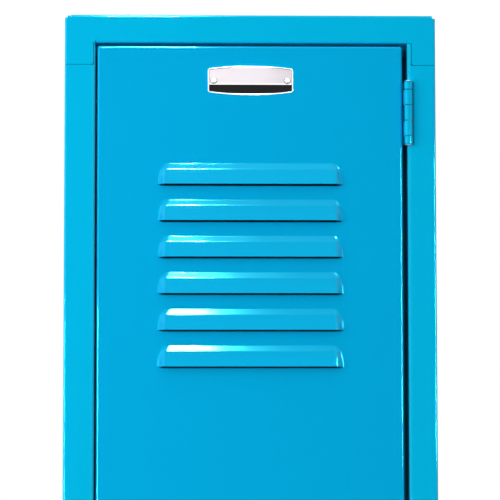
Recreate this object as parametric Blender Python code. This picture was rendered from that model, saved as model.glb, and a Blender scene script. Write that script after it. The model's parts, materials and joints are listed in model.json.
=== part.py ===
"""Single-tier steel school locker: cabinet, louvred door and gravity latch.

Metres, +Z up. The locker faces -Y, +X is its hinge side, and it stands on
Z = 0 with its origin under the middle of its bounding box. Inside this file a
piece is drawn in cabinet coordinates, where Y = 0 is the front face of the
door frame and Y grows towards the back.
"""
import math

import bmesh
import bpy
from mathutils import Vector

# Overall size
WIDTH = 0.3048
DEPTH = 0.381
BODY_HEIGHT = 1.524
LEG_HEIGHT = 0.1524

# Sheet metal
FRAME_SHEET = 0.0015
DOOR_SHEET = 0.0015
BODY_SHEET = 0.0008
INNER_BEND = 0.0006
BEND_STEPS = 3
CORNER_CLIP = 0.0006
FIT = 0.0003
TINY = 0.000001
SEAM = 0.0004

# Door frame
LATCH_FACE = 0.0250
HINGE_FACE = 0.0234
RAIL_FACE = 0.0233
EAR_DROP = 0.0414
LATCH_EAR_INSET = 0.0017
HINGE_EAR_INSET = 0.0037
EAR_CORNER = 0.0016
RELIEF_WIDTH = 0.0030
RELIEF_DROP = 0.0011
FRAME_RETURN = 0.025
STRIKE_WIDTH = 0.0195
HINGE_STRIKE_WIDTH = 0.012
STRIKE_GAP = 0.0056
RAIL_RETURN = 0.020
RAIL_STOP = 0.008
UPRIGHT_TAB = 0.006

# Door
DOOR_THICKNESS = 0.020
LATCH_GAP = 0.0019
HEAD_GAP = 0.0025
SILL_GAP = 0.0025
LATCH_RETURN = 0.022
HINGE_RETURN = 0.015

# Louvres
LOUVRE_COUNT = 6
LOUVRE_PITCH = 0.0298
LOUVRE_HEIGHT = 0.0184
LOUVRE_RISE = 0.0070
LOUVRE_LEAD = 0.0009
SHOULDER_DROP = 0.0060
SHOULDER_RISE = 0.0027
SHOULDER_BEND = 0.0080
LOUVRE_FILLET = 0.0030
SHOULDER_STEPS = 3
FACE_STEPS = 3
LOUVRE_BASE_WIDTH = 0.1524
LOUVRE_TOP_WIDTH = 0.1385
LOUVRE_END = 0.0065
LOUVRE_SLOT = 0.0012
SLOT_INSET = 0.0045
FIRST_LIP_DROP = 0.1404
BOTTOM_BANK_RISE = 0.268
END_STEPS = (0.0, 0.2, 0.4, 0.6, 0.8, 1.0)

# Hinges
HINGE_DROP = 0.0814
LEAF_SHEET = 0.0015
LEAF_GAP = 0.0006
LEAF_START = 0.0050
KNUCKLE_RADIUS = 0.0032
PIN_RADIUS = 0.0016
LONG_KNUCKLE = 0.0125
END_KNUCKLE = 0.0060
PIN_HEAD = 0.0019
AXIS_OVERHANG = 0.0004
KNUCKLE_SIDES = 16
PIN_HEAD_STEPS = 3

# Latch and handle
HANDLE_HEIGHT = 0.940
LIFT = 0.014
BAR_WIDTH = 0.015
BAR_DEPTH = 0.009
BAR_SHEET = 0.0012
BAR_OVERRUN = 0.045
GUIDE_WALL = 0.0012
GUIDE_LENGTH = 0.024
GUIDE_DEPTH = 0.0072
GUIDE_OFFSET = 0.055
HOOK_SHEET = 0.0025
HOOK_END_OFFSET = 0.150
HOOK_MIDDLE_RISE = 0.150
HOOK_NECK = 0.010
HOOK_NECK_TOP = 0.004
HOOK_NOSE_TOP = 0.011
HOOK_NOSE = 0.0064
HOOK_NOSE_FLAT = 0.0015
HOOK_PLAY = 0.0006
HOOK_BASE_HEIGHT = 0.030
HOOK_SLOT_PLAY = 0.002
SILENCER_RADIUS = 0.0055
SILENCER_RISE = 0.034
POCKET_WIDTH = 0.068
POCKET_HEIGHT = 0.128
POCKET_CORNER = 0.010
POCKET_CORNER_STEPS = 6
POCKET_DEPTH = 0.016
POCKET_DRAFT = 0.002
POCKET_SHEET = 0.0009
POCKET_LIP = 0.0015
POCKET_BEZEL = 0.0065
POCKET_GAP = 0.0073
POCKET_HOLE_PLAY = 0.0012
TRIGGER_SHEET = 0.002
TRIGGER_HEIGHT = 0.018
TRIGGER_TAB = 0.007
TRIGGER_REACH = 0.034
TRIGGER_LIP = 0.024
TRIGGER_LIP_REACH = 0.0075
PADLOCK_HOLE = 0.0045
PADLOCK_EYE_FRONT = 0.0055
PADLOCK_EYE_RIM = 0.0015
STAPLE_FOOT = 0.014
COVER_WALL = 0.0015
COVER_DEPTH = 0.0058

# Cabinet
PANEL_START = 0.004
PANEL_FLANGE = 0.018
TOP_FLANGE = 0.012
FLOOR_FLANGE = 0.014
SHELF_DROP = 0.305
SHELF_FLANGE = 0.015
SHELF_NOSE = 0.020
SHELF_HEM = 0.010
LEG_SHEET = 0.002
LEG_WIDTH = 0.035
FOOT_DEPTH = 0.040
FOOT_RISE = 0.030
FOOT_HOLE = 0.0055

# Coat hooks
HOOK_STRIP = 0.0025
HOOK_STRIP_WIDTH = 0.014
HOOK_CURL = 0.008
WALL_HOOK_PLATE = 0.040
WALL_HOOK_REACH = 0.026
WALL_HOOK_TIP = 0.020
WALL_HOOK_DROP = 0.085
CEILING_HOOK_SEAT = 0.026
CEILING_HOOK_DROP = 0.044
CEILING_HOOK_REACH = 0.025

# Name plate
PLATE_WIDTH = 0.0698
PLATE_HEIGHT = 0.0195
PLATE_BOW = 0.0023
PLATE_CLIP = 0.0012
PLATE_SHEET = 0.0008
PLATE_DROP = 0.0547
PLATE_BOW_STEPS = 10
RIVET_SPACING = 0.0603
RIVET_HEAD = 0.0021
RIVET_SHANK = 0.0012
RIVET_CROWN = 0.0010
RIVET_SIDES = 12

# Levels and planes worked out from the sizes above
TOP = LEG_HEIGHT + BODY_HEIGHT
HALF_WIDTH = WIDTH / 2
OPEN_LEFT = LATCH_FACE - HALF_WIDTH
OPEN_RIGHT = HALF_WIDTH - HINGE_FACE
FRAME_BEND = FRAME_SHEET + INNER_BEND
DOOR_BEND = DOOR_SHEET + INNER_BEND
BODY_BEND = BODY_SHEET + INNER_BEND
RAIL_BOTTOM = TOP - RAIL_FACE
EAR_BOTTOM = TOP - EAR_DROP
SILL_TOP = LEG_HEIGHT + RAIL_FACE
STRIKE_FACE = DOOR_THICKNESS + STRIKE_GAP
STOP_FACE = STRIKE_FACE - FRAME_BEND - FRAME_SHEET - FIT
HINGE_GAP = 2 * (LEAF_SHEET + FIT) + LEAF_GAP
DOOR_LEFT = OPEN_LEFT + LATCH_GAP
DOOR_RIGHT = OPEN_RIGHT - HINGE_GAP
DOOR_TOP = RAIL_BOTTOM - HEAD_GAP
DOOR_BOTTOM = SILL_TOP + SILL_GAP
DOOR_BACK = DOOR_THICKNESS - DOOR_SHEET
AXIS_X = OPEN_RIGHT + AXIS_OVERHANG
AXIS_Y = -(KNUCKLE_RADIUS + FIT)
HINGE_LEVELS = {
    "top": TOP - HINGE_DROP,
    "middle": (TOP + LEG_HEIGHT) / 2,
    "bottom": LEG_HEIGHT + HINGE_DROP,
}
BAR_LEFT = DOOR_LEFT + DOOR_SHEET + 2 * FIT + GUIDE_WALL
BAR_RIGHT = BAR_LEFT + BAR_WIDTH
BAR_BACK = DOOR_BACK - 2 * FIT - GUIDE_WALL
BAR_FRONT = BAR_BACK - BAR_DEPTH
BAR_WEB = BAR_BACK - BAR_SHEET
HOOK_X = (BAR_LEFT + BAR_RIGHT) / 2
HOOK_LEVELS = {
    "top": DOOR_TOP - HOOK_END_OFFSET,
    "middle": HANDLE_HEIGHT + HOOK_MIDDLE_RISE,
    "bottom": DOOR_BOTTOM + HOOK_END_OFFSET,
}
POCKET_LEFT = BAR_RIGHT + POCKET_GAP
POCKET_X = POCKET_LEFT + POCKET_SHEET + POCKET_WIDTH / 2
TRIGGER_FRONT = BAR_FRONT
EYE_X = POCKET_LEFT + TRIGGER_REACH
EYE_Y = PADLOCK_HOLE + PADLOCK_EYE_RIM - PADLOCK_EYE_FRONT
SIDE_OUTER = HALF_WIDTH - FRAME_SHEET - FIT
SIDE_INNER = SIDE_OUTER - BODY_SHEET
LINER_HALF = SIDE_INNER - FIT
BACK_FACE = DEPTH - BODY_SHEET
FLANGE_BACK = BACK_FACE - FIT
LINER_BACK = FLANGE_BACK - BODY_SHEET - FIT
TOP_LEVEL = TOP - FRAME_SHEET - FIT
FLOOR_LEVEL = LEG_HEIGHT + FLOOR_FLANGE
SHELF_LEVEL = TOP - SHELF_DROP
LINER_START = STRIKE_FACE + FRAME_SHEET + FIT
PLATE_LEVEL = TOP - PLATE_DROP
FRONT_REACH = max(LOUVRE_RISE, KNUCKLE_RADIUS - AXIS_Y, PADLOCK_EYE_FRONT)
FRONT_Y = (FRONT_REACH - DEPTH) / 2

# Where each group's own origin lies, in cabinet coordinates
SEATS = {
    "cabinet": Vector((0.0, 0.0, 0.0)),
    "door": Vector((AXIS_X, AXIS_Y, 0.0)),
    "latch": Vector(((BAR_LEFT + BAR_RIGHT) / 2, BAR_BACK, HANDLE_HEIGHT)),
}
EMPTIES = {}


# Materials


def linear(level):
    """One 0-255 display level as a linear value."""
    share = level / 255
    if share <= 0.04045:
        return share / 12.92
    return ((share + 0.055) / 1.055) ** 2.4


def finish(name, red, green, blue, roughness, metallic):
    """A Principled material from display colour levels."""
    material = bpy.data.materials.new(name)
    material.use_nodes = True
    shader = material.node_tree.nodes["Principled BSDF"]
    shader.inputs["Base Color"].default_value = (linear(red), linear(green), linear(blue), 1.0)
    shader.inputs["Roughness"].default_value = roughness
    shader.inputs["Metallic"].default_value = metallic
    return material


# Flat outlines


def rounded(points, radius, steps=BEND_STEPS):
    """An open path with an arc of the given radius at each inner corner."""
    path = [Vector(points[0])]
    for before, corner, after in zip(points, points[1:], points[2:]):
        corner = Vector(corner)
        back = (Vector(before) - corner).normalized()
        ahead = (Vector(after) - corner).normalized()
        half = back.angle(ahead) / 2
        centre = corner + (back + ahead).normalized() * radius / math.sin(half)
        first = corner + back * radius / math.tan(half) - centre
        last = corner + ahead * radius / math.tan(half) - centre
        sweep = math.pi - 2 * half
        for step in range(steps + 1):
            share = step / steps
            near = math.sin((1 - share) * sweep) / math.sin(sweep)
            far = math.sin(share * sweep) / math.sin(sweep)
            path.append(centre + first * near + last * far)
    path.append(Vector(points[-1]))
    apart = [point for before, point in zip(path, path[1:]) if (point - before).length > TINY]
    return path[:1] + apart


def thicken(path, thickness):
    """The closed outline of a strip on the left of a path, or on its right if negative."""
    normals = []
    for start, end in zip(path, path[1:]):
        along = (end - start).normalized()
        normals.append(Vector((-along.y, along.x)))
    offsets = []
    for index, point in enumerate(path):
        before = normals[max(index - 1, 0)]
        after = normals[min(index, len(normals) - 1)]
        mid = (before + after).normalized()
        offsets.append(point + mid * thickness / mid.dot(after))
    return list(path) + offsets[::-1]


def rectangle(low, high):
    """A rectangle from two opposite corners."""
    return [(low[0], low[1]), (high[0], low[1]), (high[0], high[1]), (low[0], high[1])]


def clipped_rectangle(low, high):
    """A rectangle whose corners are clipped, so that the folds beside them stay apart."""
    clip = CORNER_CLIP
    return [
        (low[0] + clip, low[1]),
        (high[0] - clip, low[1]),
        (high[0], low[1] + clip),
        (high[0], high[1] - clip),
        (high[0] - clip, high[1]),
        (low[0] + clip, high[1]),
        (low[0], high[1] - clip),
        (low[0], low[1] + clip),
    ]


def circle(centre, radius, sides):
    """A regular polygon round a centre."""
    turn = 2 * math.pi / sides
    return [
        (centre[0] + radius * math.cos(turn * i), centre[1] + radius * math.sin(turn * i))
        for i in range(sides)
    ]


def rounded_rectangle(centre, width, height, radius, steps):
    """A rectangle with round corners, counter-clockwise from its lower right corner."""
    outline = []
    quarter = math.pi / 2
    corners = ((1, -1), (1, 1), (-1, 1), (-1, -1))
    for index, (side, end) in enumerate(corners):
        middle_x = centre[0] + side * (width / 2 - radius)
        middle_z = centre[1] + end * (height / 2 - radius)
        for step in range(steps + 1):
            angle = quarter * (index - 1 + step / steps)
            outline.append((middle_x + radius * math.cos(angle), middle_z + radius * math.sin(angle)))
    return outline


# Solids


SPREAD = {
    "xy": lambda u, v, w: (u, v, w),
    "yz": lambda u, v, w: (w, u, v),
    "xz": lambda u, v, w: (u, w, v),
}


def prism(outline, plane, low, high):
    """A closed outline drawn in a plane and extruded across it."""
    bm = bmesh.new()
    spread = SPREAD[plane]
    verts = [bm.verts.new(spread(u, v, low)) for u, v in outline]
    face = bm.faces.new(verts)
    grown = bmesh.ops.extrude_face_region(bm, geom=[face])
    raised = [item for item in grown["geom"] if isinstance(item, bmesh.types.BMVert)]
    shift = Vector(spread(0.0, 0.0, high - low))
    bmesh.ops.translate(bm, vec=shift, verts=raised)
    bmesh.ops.recalc_face_normals(bm, faces=bm.faces)
    return bm


def box(low, high):
    """A block between two corners."""
    return prism(rectangle(low[:2], high[:2]), "xy", low[2], high[2])


def turned(profile, centre, direction, sides):
    """A closed solid of revolution from (radius, height) points, both ends on the axis."""
    bm = bmesh.new()
    up = Vector(direction)
    across = up.orthogonal().normalized()
    beside = up.cross(across)
    rings = []
    for radius, height in profile:
        middle = Vector(centre) + up * height
        if radius == 0.0:
            rings.append([bm.verts.new(middle)])
            continue
        ring = []
        for u, v in circle((0.0, 0.0), radius, sides):
            ring.append(bm.verts.new(middle + across * u + beside * v))
        rings.append(ring)
    for lower, upper in zip(rings, rings[1:]):
        for i in range(sides):
            j = (i + 1) % sides
            below = [lower[k % len(lower)] for k in (i, j)]
            above = [upper[k % len(upper)] for k in (j, i)]
            bm.faces.new(list(dict.fromkeys(below + above)))
    bmesh.ops.recalc_face_normals(bm, faces=bm.faces)
    return bm


def fold(bm, behind, start, end, inward, path, thickness):
    """Folds a sheet on past one edge of a face: path holds (outward, inward) distances.

    The way from each vertex to the sheet's other side is kept in behind.
    """
    along = (end.co - start.co).normalized()
    outward = along.cross(-inward)
    lead = [Vector((-thickness, 0.0))] + list(path)
    inner = thicken(lead, thickness)[len(lead):][::-1]
    row = (start, end)
    for index, point in enumerate(path):
        if index > 0:
            step = outward * point.x + inward * point.y
            new = tuple(bm.verts.new(vert.co + step) for vert in (start, end))
            bm.faces.new((row[1], row[0], new[0], new[1]))
            row = new
        shift = inner[index + 1] - point
        for vert in row:
            behind[vert] = outward * shift.x + inward * shift.y


def close_sheet(bm, behind, plain):
    """Gives an open surface its other side and its cut edges."""
    fronts = list(bm.faces)
    rims = [edge.link_loops[0] for edge in bm.edges if edge.is_boundary]
    ends = [(loop.vert, loop.link_loop_next.vert) for loop in rims]
    twin = {}
    for vert in list(bm.verts):
        twin[vert] = bm.verts.new(vert.co + behind.get(vert, plain))
    for face in fronts:
        bm.faces.new([twin[vert] for vert in reversed(face.verts)])
    for first, second in ends:
        bm.faces.new((second, first, twin[first], twin[second]))


def flange(bend, depth):
    """The path of a right-angle flange whose outside lies a bend beyond the fold line."""
    return rounded([(0.0, 0.0), (bend, 0.0), (bend, depth)], bend)


def returned_flange(bend, depth, lip):
    """A right-angle flange whose end turns back under the sheet."""
    return rounded([(0.0, 0.0), (bend, 0.0), (bend, depth), (bend - lip, depth)], bend)


def folded_sheet(corners, inward, folds, thickness):
    """A flat face, counter-clockwise from outside, with flanges on the numbered edges."""
    bm = bmesh.new()
    inward = Vector(inward)
    behind = {}
    verts = [bm.verts.new(corner) for corner in corners]
    bm.faces.new(verts)
    for edge, path in folds.items():
        fold(bm, behind, verts[edge], verts[(edge + 1) % len(verts)], inward, path, thickness)
    close_sheet(bm, behind, inward * thickness)
    return bm


# Objects


def place(name, bm, material, seat):
    """Makes an object of a mesh drawn in cabinet coordinates, hung on its group's empty."""
    bmesh.ops.translate(bm, vec=-SEATS[seat], verts=bm.verts)
    mesh = bpy.data.meshes.new(name)
    bm.to_mesh(mesh)
    bm.free()
    mesh.shade_smooth()
    mesh.set_sharp_from_angle(angle=math.radians(35))
    if material:
        mesh.materials.append(material)
    obj = bpy.data.objects.new(name, mesh)
    bpy.context.scene.collection.objects.link(obj)
    obj.parent = EMPTIES[seat]
    return obj


def sheet(name, bm, thickness, material, seat):
    """An object whose open surface gets its sheet thickness behind it."""
    obj = place(name, bm, material, seat)
    wall = obj.modifiers.new("sheet", "SOLIDIFY")
    wall.thickness = thickness
    wall.offset = -1.0
    wall.use_even_offset = True
    wall.use_quality_normals = True
    return obj


def combine(obj, bm, operation, seat):
    """Joins a shape to an object, or cuts it out of the object."""
    tool = place(obj.name + "_tool", bm, None, seat)
    tool.hide_render = True
    tool.display_type = "WIRE"
    change = obj.modifiers.new(operation.lower(), "BOOLEAN")
    change.operation = operation
    change.solver = "EXACT"
    change.object = tool


def add_empty(name, seat, parent):
    """The empty that a group of pieces hangs on."""
    empty = bpy.data.objects.new(name, None)
    bpy.context.scene.collection.objects.link(empty)
    if parent is None:
        empty.location = (0.0, FRONT_Y, 0.0)
    else:
        empty.parent = EMPTIES[parent]
        empty.location = SEATS[seat] - SEATS[parent]
    EMPTIES[seat] = empty


# Door frame


def make_upright(name, side, jamb, ear_inset, strike_width, material):
    """One side of the frame: a bent channel from the floor to the top rail, with its strike."""
    reveal = abs(jamb)
    section = [
        (-HALF_WIDTH, FRAME_RETURN),
        (-HALF_WIDTH, 0.0),
        (-reveal, 0.0),
        (-reveal, STRIKE_FACE),
        (-reveal + strike_width, STRIKE_FACE),
    ]
    outline = thicken(rounded(section, FRAME_BEND), FRAME_SHEET)
    outline = [(-side * x, y) for x, y in outline]
    upright = place(name, prism(outline, "xy", 0.0, RAIL_BOTTOM + UPRIGHT_TAB), material, "cabinet")

    outside = side * WIDTH
    ear_edge = side * (reveal + ear_inset - SEAM)
    ear_room = box(
        (min(outside, ear_edge), -FRAME_RETURN, EAR_BOTTOM - SEAM),
        (max(outside, ear_edge), 2 * FRAME_RETURN, TOP),
    )
    combine(upright, ear_room, "DIFFERENCE", "cabinet")
    rail_room = box(
        (-WIDTH, -FRAME_RETURN, RAIL_BOTTOM - SEAM),
        (WIDTH, FRAME_SHEET + FIT, TOP),
    )
    combine(upright, rail_room, "DIFFERENCE", "cabinet")


def rail_half(reveal, ear_inset):
    """Half of the top rail's face, from the door opening round the ear and up its outer edge."""
    edge = HALF_WIDTH - FRAME_BEND
    ear = reveal + ear_inset
    jamb = reveal - FIT
    relief = jamb + SEAM
    top = TOP - FRAME_BEND
    fold_level = RAIL_BOTTOM + FRAME_BEND
    corner = [(ear, RAIL_BOTTOM), (ear, EAR_BOTTOM), (edge, EAR_BOTTOM)]
    half = [(jamb, fold_level), (relief, fold_level), (relief, RAIL_BOTTOM)]
    half += [tuple(point) for point in rounded(corner, EAR_CORNER)]
    return half + [(edge, top - CORNER_CLIP)]


def make_top_rail(material):
    """Top of the frame: a folded rail, notched at one corner, whose ears lap over the uprights."""
    edge = HALF_WIDTH - FRAME_BEND
    top = TOP - FRAME_BEND
    corner = edge - CORNER_CLIP
    notch = [
        (corner, TOP - RELIEF_DROP),
        (edge - RELIEF_WIDTH + SEAM, TOP - RELIEF_DROP),
        (edge - RELIEF_WIDTH + SEAM, top),
        (edge - RELIEF_WIDTH, top),
    ]
    right_half = rail_half(OPEN_RIGHT, HINGE_EAR_INSET) + [(corner, top)]
    left_half = rail_half(-OPEN_LEFT, LATCH_EAR_INSET) + notch
    outline = right_half + [(-x, z) for x, z in reversed(left_half)]
    corners = [(x, 0.0, z) for x, z in outline]
    head = len(right_half) - 1
    stop = [
        (0.0, 0.0),
        (FRAME_BEND, 0.0),
        (FRAME_BEND, STOP_FACE),
        (FRAME_BEND + RAIL_STOP, STOP_FACE),
    ]
    folds = {
        head - 2: flange(FRAME_BEND, FRAME_RETURN),
        head: flange(FRAME_BEND, RAIL_RETURN),
        head + 1 + len(notch): flange(FRAME_BEND, FRAME_RETURN),
        len(corners) - 1: rounded(stop, FRAME_BEND),
    }
    bm = folded_sheet(corners, (0.0, 1.0, 0.0), folds, FRAME_SHEET)
    place("frame_top_rail", bm, material, "cabinet")


def make_bottom_rail(material):
    """Bottom of the frame: a channel between the uprights with a stop behind the door."""
    section = [
        (STOP_FACE, SILL_TOP + RAIL_STOP),
        (STOP_FACE, SILL_TOP),
        (0.0, SILL_TOP),
        (0.0, LEG_HEIGHT),
        (STOP_FACE, LEG_HEIGHT),
    ]
    outline = thicken(rounded(section, FRAME_BEND), FRAME_SHEET)
    bm = prism(outline, "yz", OPEN_LEFT + SEAM, OPEN_RIGHT - SEAM)
    place("frame_bottom_rail", bm, material, "cabinet")


def make_front_foot(name, side, jamb, material):
    """A bent foot inside the lower end of an upright, with its floor bolt hole."""
    front = FRAME_SHEET + FIT
    section = [(front, FOOT_RISE), (front, 0.0), (FOOT_DEPTH, 0.0)]
    outline = thicken(rounded(section, LEG_SHEET + INNER_BEND), LEG_SHEET)
    outer = HALF_WIDTH - FRAME_SHEET - FIT
    inner = abs(jamb) + FRAME_SHEET + FIT
    low, high = sorted((side * outer, side * inner))
    foot = place(name, prism(outline, "yz", low, high), material, "cabinet")
    middle = ((low + high) / 2, (STRIKE_FACE + FOOT_DEPTH) / 2)
    hole = prism(circle(middle, FOOT_HOLE, KNUCKLE_SIDES), "xy", -LEG_SHEET, 2 * LEG_SHEET)
    combine(foot, hole, "DIFFERENCE", "cabinet")


# Cabinet sheets


def make_side_panel(name, side, material):
    """A side sheet inside the frame's return, turned in along the back."""
    section = [
        (-SIDE_OUTER, PANEL_START),
        (-SIDE_OUTER, FLANGE_BACK),
        (-SIDE_OUTER + PANEL_FLANGE, FLANGE_BACK),
    ]
    outline = thicken(rounded(section, BODY_BEND), -BODY_SHEET)
    outline = [(-side * x, y) for x, y in outline]
    place(name, prism(outline, "xy", LEG_HEIGHT, TOP_LEVEL), material, "cabinet")


def make_back_panel(material):
    """The flat sheet that closes the back."""
    bm = box((-SIDE_OUTER, BACK_FACE, LEG_HEIGHT), (SIDE_OUTER, DEPTH, TOP_LEVEL))
    place("back_panel", bm, material, "cabinet")


def make_tray(name, level, front, front_path, depth, material):
    """A level sheet between the side panels, with its edges folded down."""
    side = LINER_HALF - BODY_BEND
    back = LINER_BACK - BODY_BEND
    start = front + BODY_BEND
    corners = [(x, y, level) for x, y in clipped_rectangle((-side, start), (side, back))]
    edge = flange(BODY_BEND, depth)
    folds = {0: front_path, 2: edge, 4: edge, 6: edge}
    bm = folded_sheet(corners, (0.0, 0.0, -1.0), folds, BODY_SHEET)
    place(name, bm, material, "cabinet")


def make_trays(material):
    """Top panel, bottom panel and hat shelf."""
    plain_top = flange(BODY_BEND, TOP_FLANGE)
    make_tray("top_panel", TOP_LEVEL, PANEL_START, plain_top, TOP_FLANGE, material)
    plain_floor = flange(BODY_BEND, FLOOR_FLANGE)
    make_tray("bottom_panel", FLOOR_LEVEL, LINER_START, plain_floor, FLOOR_FLANGE, material)
    nose = returned_flange(BODY_BEND, SHELF_NOSE, SHELF_HEM)
    make_tray("hat_shelf", SHELF_LEVEL, LINER_START, nose, SHELF_FLANGE, material)


def make_rear_leg(name, side, material):
    """A corner leg under the floor sheet, with a foot and its floor bolt hole."""
    outer = LINER_HALF - BODY_SHEET - FIT
    back = LINER_BACK - BODY_SHEET - FIT
    section = [(-outer, back - LEG_WIDTH), (-outer, back), (-outer + LEG_WIDTH, back)]
    outline = thicken(rounded(section, LEG_SHEET + INNER_BEND), -LEG_SHEET)
    outline = [(-side * x, y) for x, y in outline]
    top = FLOOR_LEVEL - BODY_SHEET - FIT
    leg = place(name, prism(outline, "xy", 0.0, top), material, "cabinet")
    half_sheet = LEG_SHEET / 2
    low, high = sorted((-side * (-outer + half_sheet), -side * (-outer + LEG_WIDTH)))
    foot = box((low, back - LEG_WIDTH, 0.0), (high, back - half_sheet, LEG_SHEET))
    combine(leg, foot, "UNION", "cabinet")
    middle = ((low + high) / 2, back - LEG_WIDTH / 2)
    hole = prism(circle(middle, FOOT_HOLE, KNUCKLE_SIDES), "xy", -LEG_SHEET, 2 * LEG_SHEET)
    combine(leg, hole, "DIFFERENCE", "cabinet")


# Coat hooks


def wall_hook_outline():
    """A flat strip turned up into one prong: distance from the wall, height."""
    path = [
        (0.0, WALL_HOOK_PLATE / 2),
        (0.0, -WALL_HOOK_PLATE / 2),
        (WALL_HOOK_REACH, -WALL_HOOK_PLATE / 2),
        (WALL_HOOK_REACH, WALL_HOOK_TIP - WALL_HOOK_PLATE / 2),
    ]
    return thicken(rounded(path, HOOK_CURL, 2 * BEND_STEPS), HOOK_STRIP)


def make_coat_hooks(material):
    """One double hook under the shelf and a single hook on three walls."""
    level = SHELF_LEVEL - WALL_HOOK_DROP
    middle = (LINER_START + LINER_BACK) / 2
    half = HOOK_STRIP_WIDTH / 2
    wall = SIDE_INNER - FIT
    for name, side in (("left", -1), ("right", 1)):
        outline = [(side * (wall - away), level + up) for away, up in wall_hook_outline()]
        bm = prism(outline, "xz", middle - half, middle + half)
        place("coat_hook_" + name, bm, material, "cabinet")
    outline = [(BACK_FACE - FIT - away, level + up) for away, up in wall_hook_outline()]
    place("coat_hook_back", prism(outline, "yz", -half, half), material, "cabinet")

    seat = SHELF_LEVEL - BODY_SHEET - FIT
    inner = CEILING_HOOK_SEAT / 2
    outer = inner + CEILING_HOOK_REACH
    low = -CEILING_HOOK_DROP
    tip = low + WALL_HOOK_TIP
    right_half = [(inner, 0.0), (inner, low), (outer, low), (outer, tip)]
    left_half = [(-x, z) for x, z in reversed(right_half)]
    path = rounded(left_half + right_half, HOOK_CURL, 2 * BEND_STEPS)
    outline = [(x, seat + z) for x, z in thicken(path, -HOOK_STRIP)]
    bm = prism(outline, "xz", middle - half, middle + half)
    place("ceiling_hook", bm, material, "cabinet")


# Door


def ring_edges(bm, verts):
    """The edges round a loop of vertices, made where they are missing."""
    edges = []
    for first, second in zip(verts, verts[1:] + verts[:1]):
        edges.append(bm.edges.get((first, second)) or bm.edges.new((first, second)))
    return edges


def louvre_path():
    """Side view of a louvre: drop below its top line, and rise off the door."""
    foot = (LOUVRE_LEAD, 0.0)
    shoulder = (SHOULDER_DROP, SHOULDER_RISE)
    lip = (LOUVRE_HEIGHT, LOUVRE_RISE)
    fillet = rounded([(0.0, 0.0), foot, shoulder], LOUVRE_FILLET, SHOULDER_STEPS)
    crown = rounded([foot, shoulder, lip], SHOULDER_BEND, SHOULDER_STEPS)
    path = [tuple(point) for point in (*fillet[:-1], *crown[1:])]
    (start, low), (end, high) = path[-2:]
    face = []
    for step in range(1, FACE_STEPS + 1):
        share = step / FACE_STEPS
        face.append((start + (end - start) * share, low + (high - low) * share))
    return path[:-1] + face


def add_louvre(bm, top):
    """Presses one hood out of the door, open below; returns the outline it leaves in the door."""
    grid = []
    for drop, rise in louvre_path():
        share = min(drop / LOUVRE_HEIGHT, 1.0)
        spread = math.sqrt(max(0.0, 1.0 - (1.0 - share) ** 2))
        half = (LOUVRE_TOP_WIDTH + (LOUVRE_BASE_WIDTH - LOUVRE_TOP_WIDTH) * spread) / 2
        right = [(half - LOUVRE_END * t, rise * t * t * (3.0 - 2.0 * t)) for t in END_STEPS]
        row = [(-x, up) for x, up in right] + right[::-1]
        grid.append([bm.verts.new((x, -up, top - drop)) for x, up in row])
    for upper, lower in zip(grid, grid[1:]):
        for i in range(len(upper) - 1):
            bm.faces.new((upper[i], lower[i], lower[i + 1], upper[i + 1]))
    slot_level = top - LOUVRE_HEIGHT - LOUVRE_SLOT
    half = LOUVRE_BASE_WIDTH / 2 - SLOT_INSET
    slot = [bm.verts.new((side * half, 0.0, slot_level)) for side in (1, -1)]
    right_side = [row[-1] for row in grid[1:]]
    left_side = [row[0] for row in grid[:0:-1]]
    return grid[0] + right_side + slot + left_side


def make_door_panel(material):
    """The door: one sheet with two banks of louvres and edges folded to channels."""
    bm = bmesh.new()
    low_x, high_x = DOOR_LEFT + DOOR_BEND, DOOR_RIGHT - DOOR_BEND
    low_z, high_z = DOOR_BOTTOM + DOOR_BEND, DOOR_TOP - DOOR_BEND
    rim_outline = clipped_rectangle((low_x, low_z), (high_x, high_z))
    rim = [bm.verts.new((x, 0.0, z)) for x, z in rim_outline]
    loops = [rim]
    for first in (TOP - FIRST_LIP_DROP + LOUVRE_HEIGHT, DOOR_BOTTOM + BOTTOM_BANK_RISE):
        for index in range(LOUVRE_COUNT):
            loops.append(add_louvre(bm, first - index * LOUVRE_PITCH))
    outlines = [pocket_hole_outline()]
    outlines += [circle((x, PLATE_LEVEL), RIVET_SHANK + FIT, RIVET_SIDES) for x in rivet_places()]
    for outline in outlines:
        loops.append([bm.verts.new((x, 0.0, z)) for x, z in outline])
    edges = []
    for loop in loops:
        edges += ring_edges(bm, loop)
    filled = bmesh.ops.triangle_fill(bm, edges=edges, use_beauty=True, normal=(0.0, -1.0, 0.0))
    for item in filled["geom"]:
        if isinstance(item, bmesh.types.BMFace):
            item.normal_update()
            if item.normal.y > 0.0:
                item.normal_flip()
    inward = Vector((0.0, 1.0, 0.0))
    behind = {}
    plain = flange(DOOR_BEND, DOOR_THICKNESS)
    hinge_edge = returned_flange(DOOR_BEND, DOOR_THICKNESS, HINGE_RETURN)
    latch_edge = returned_flange(DOOR_BEND, DOOR_THICKNESS, LATCH_RETURN)
    paths = (plain, hinge_edge, plain, latch_edge)
    for index, path in enumerate(paths):
        fold(bm, behind, rim[2 * index], rim[2 * index + 1], inward, path, DOOR_SHEET)
    close_sheet(bm, behind, inward * DOOR_SHEET)
    door = place("door_panel", bm, material, "door")
    half = HOOK_SHEET / 2 + HOOK_SLOT_PLAY
    for level in HOOK_LEVELS.values():
        slot = box(
            (HOOK_X - half, DOOR_BACK - DOOR_SHEET, level + HOOK_NECK_TOP - HOOK_NECK - HOOK_SLOT_PLAY),
            (HOOK_X + half, DOOR_THICKNESS + DOOR_SHEET, level + HOOK_NOSE_TOP + HOOK_SLOT_PLAY),
        )
        combine(door, slot, "DIFFERENCE", "door")


# Name plate


def rivet_places():
    """Where the two plate rivets sit across the door."""
    return (-RIVET_SPACING / 2, RIVET_SPACING / 2)


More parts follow.
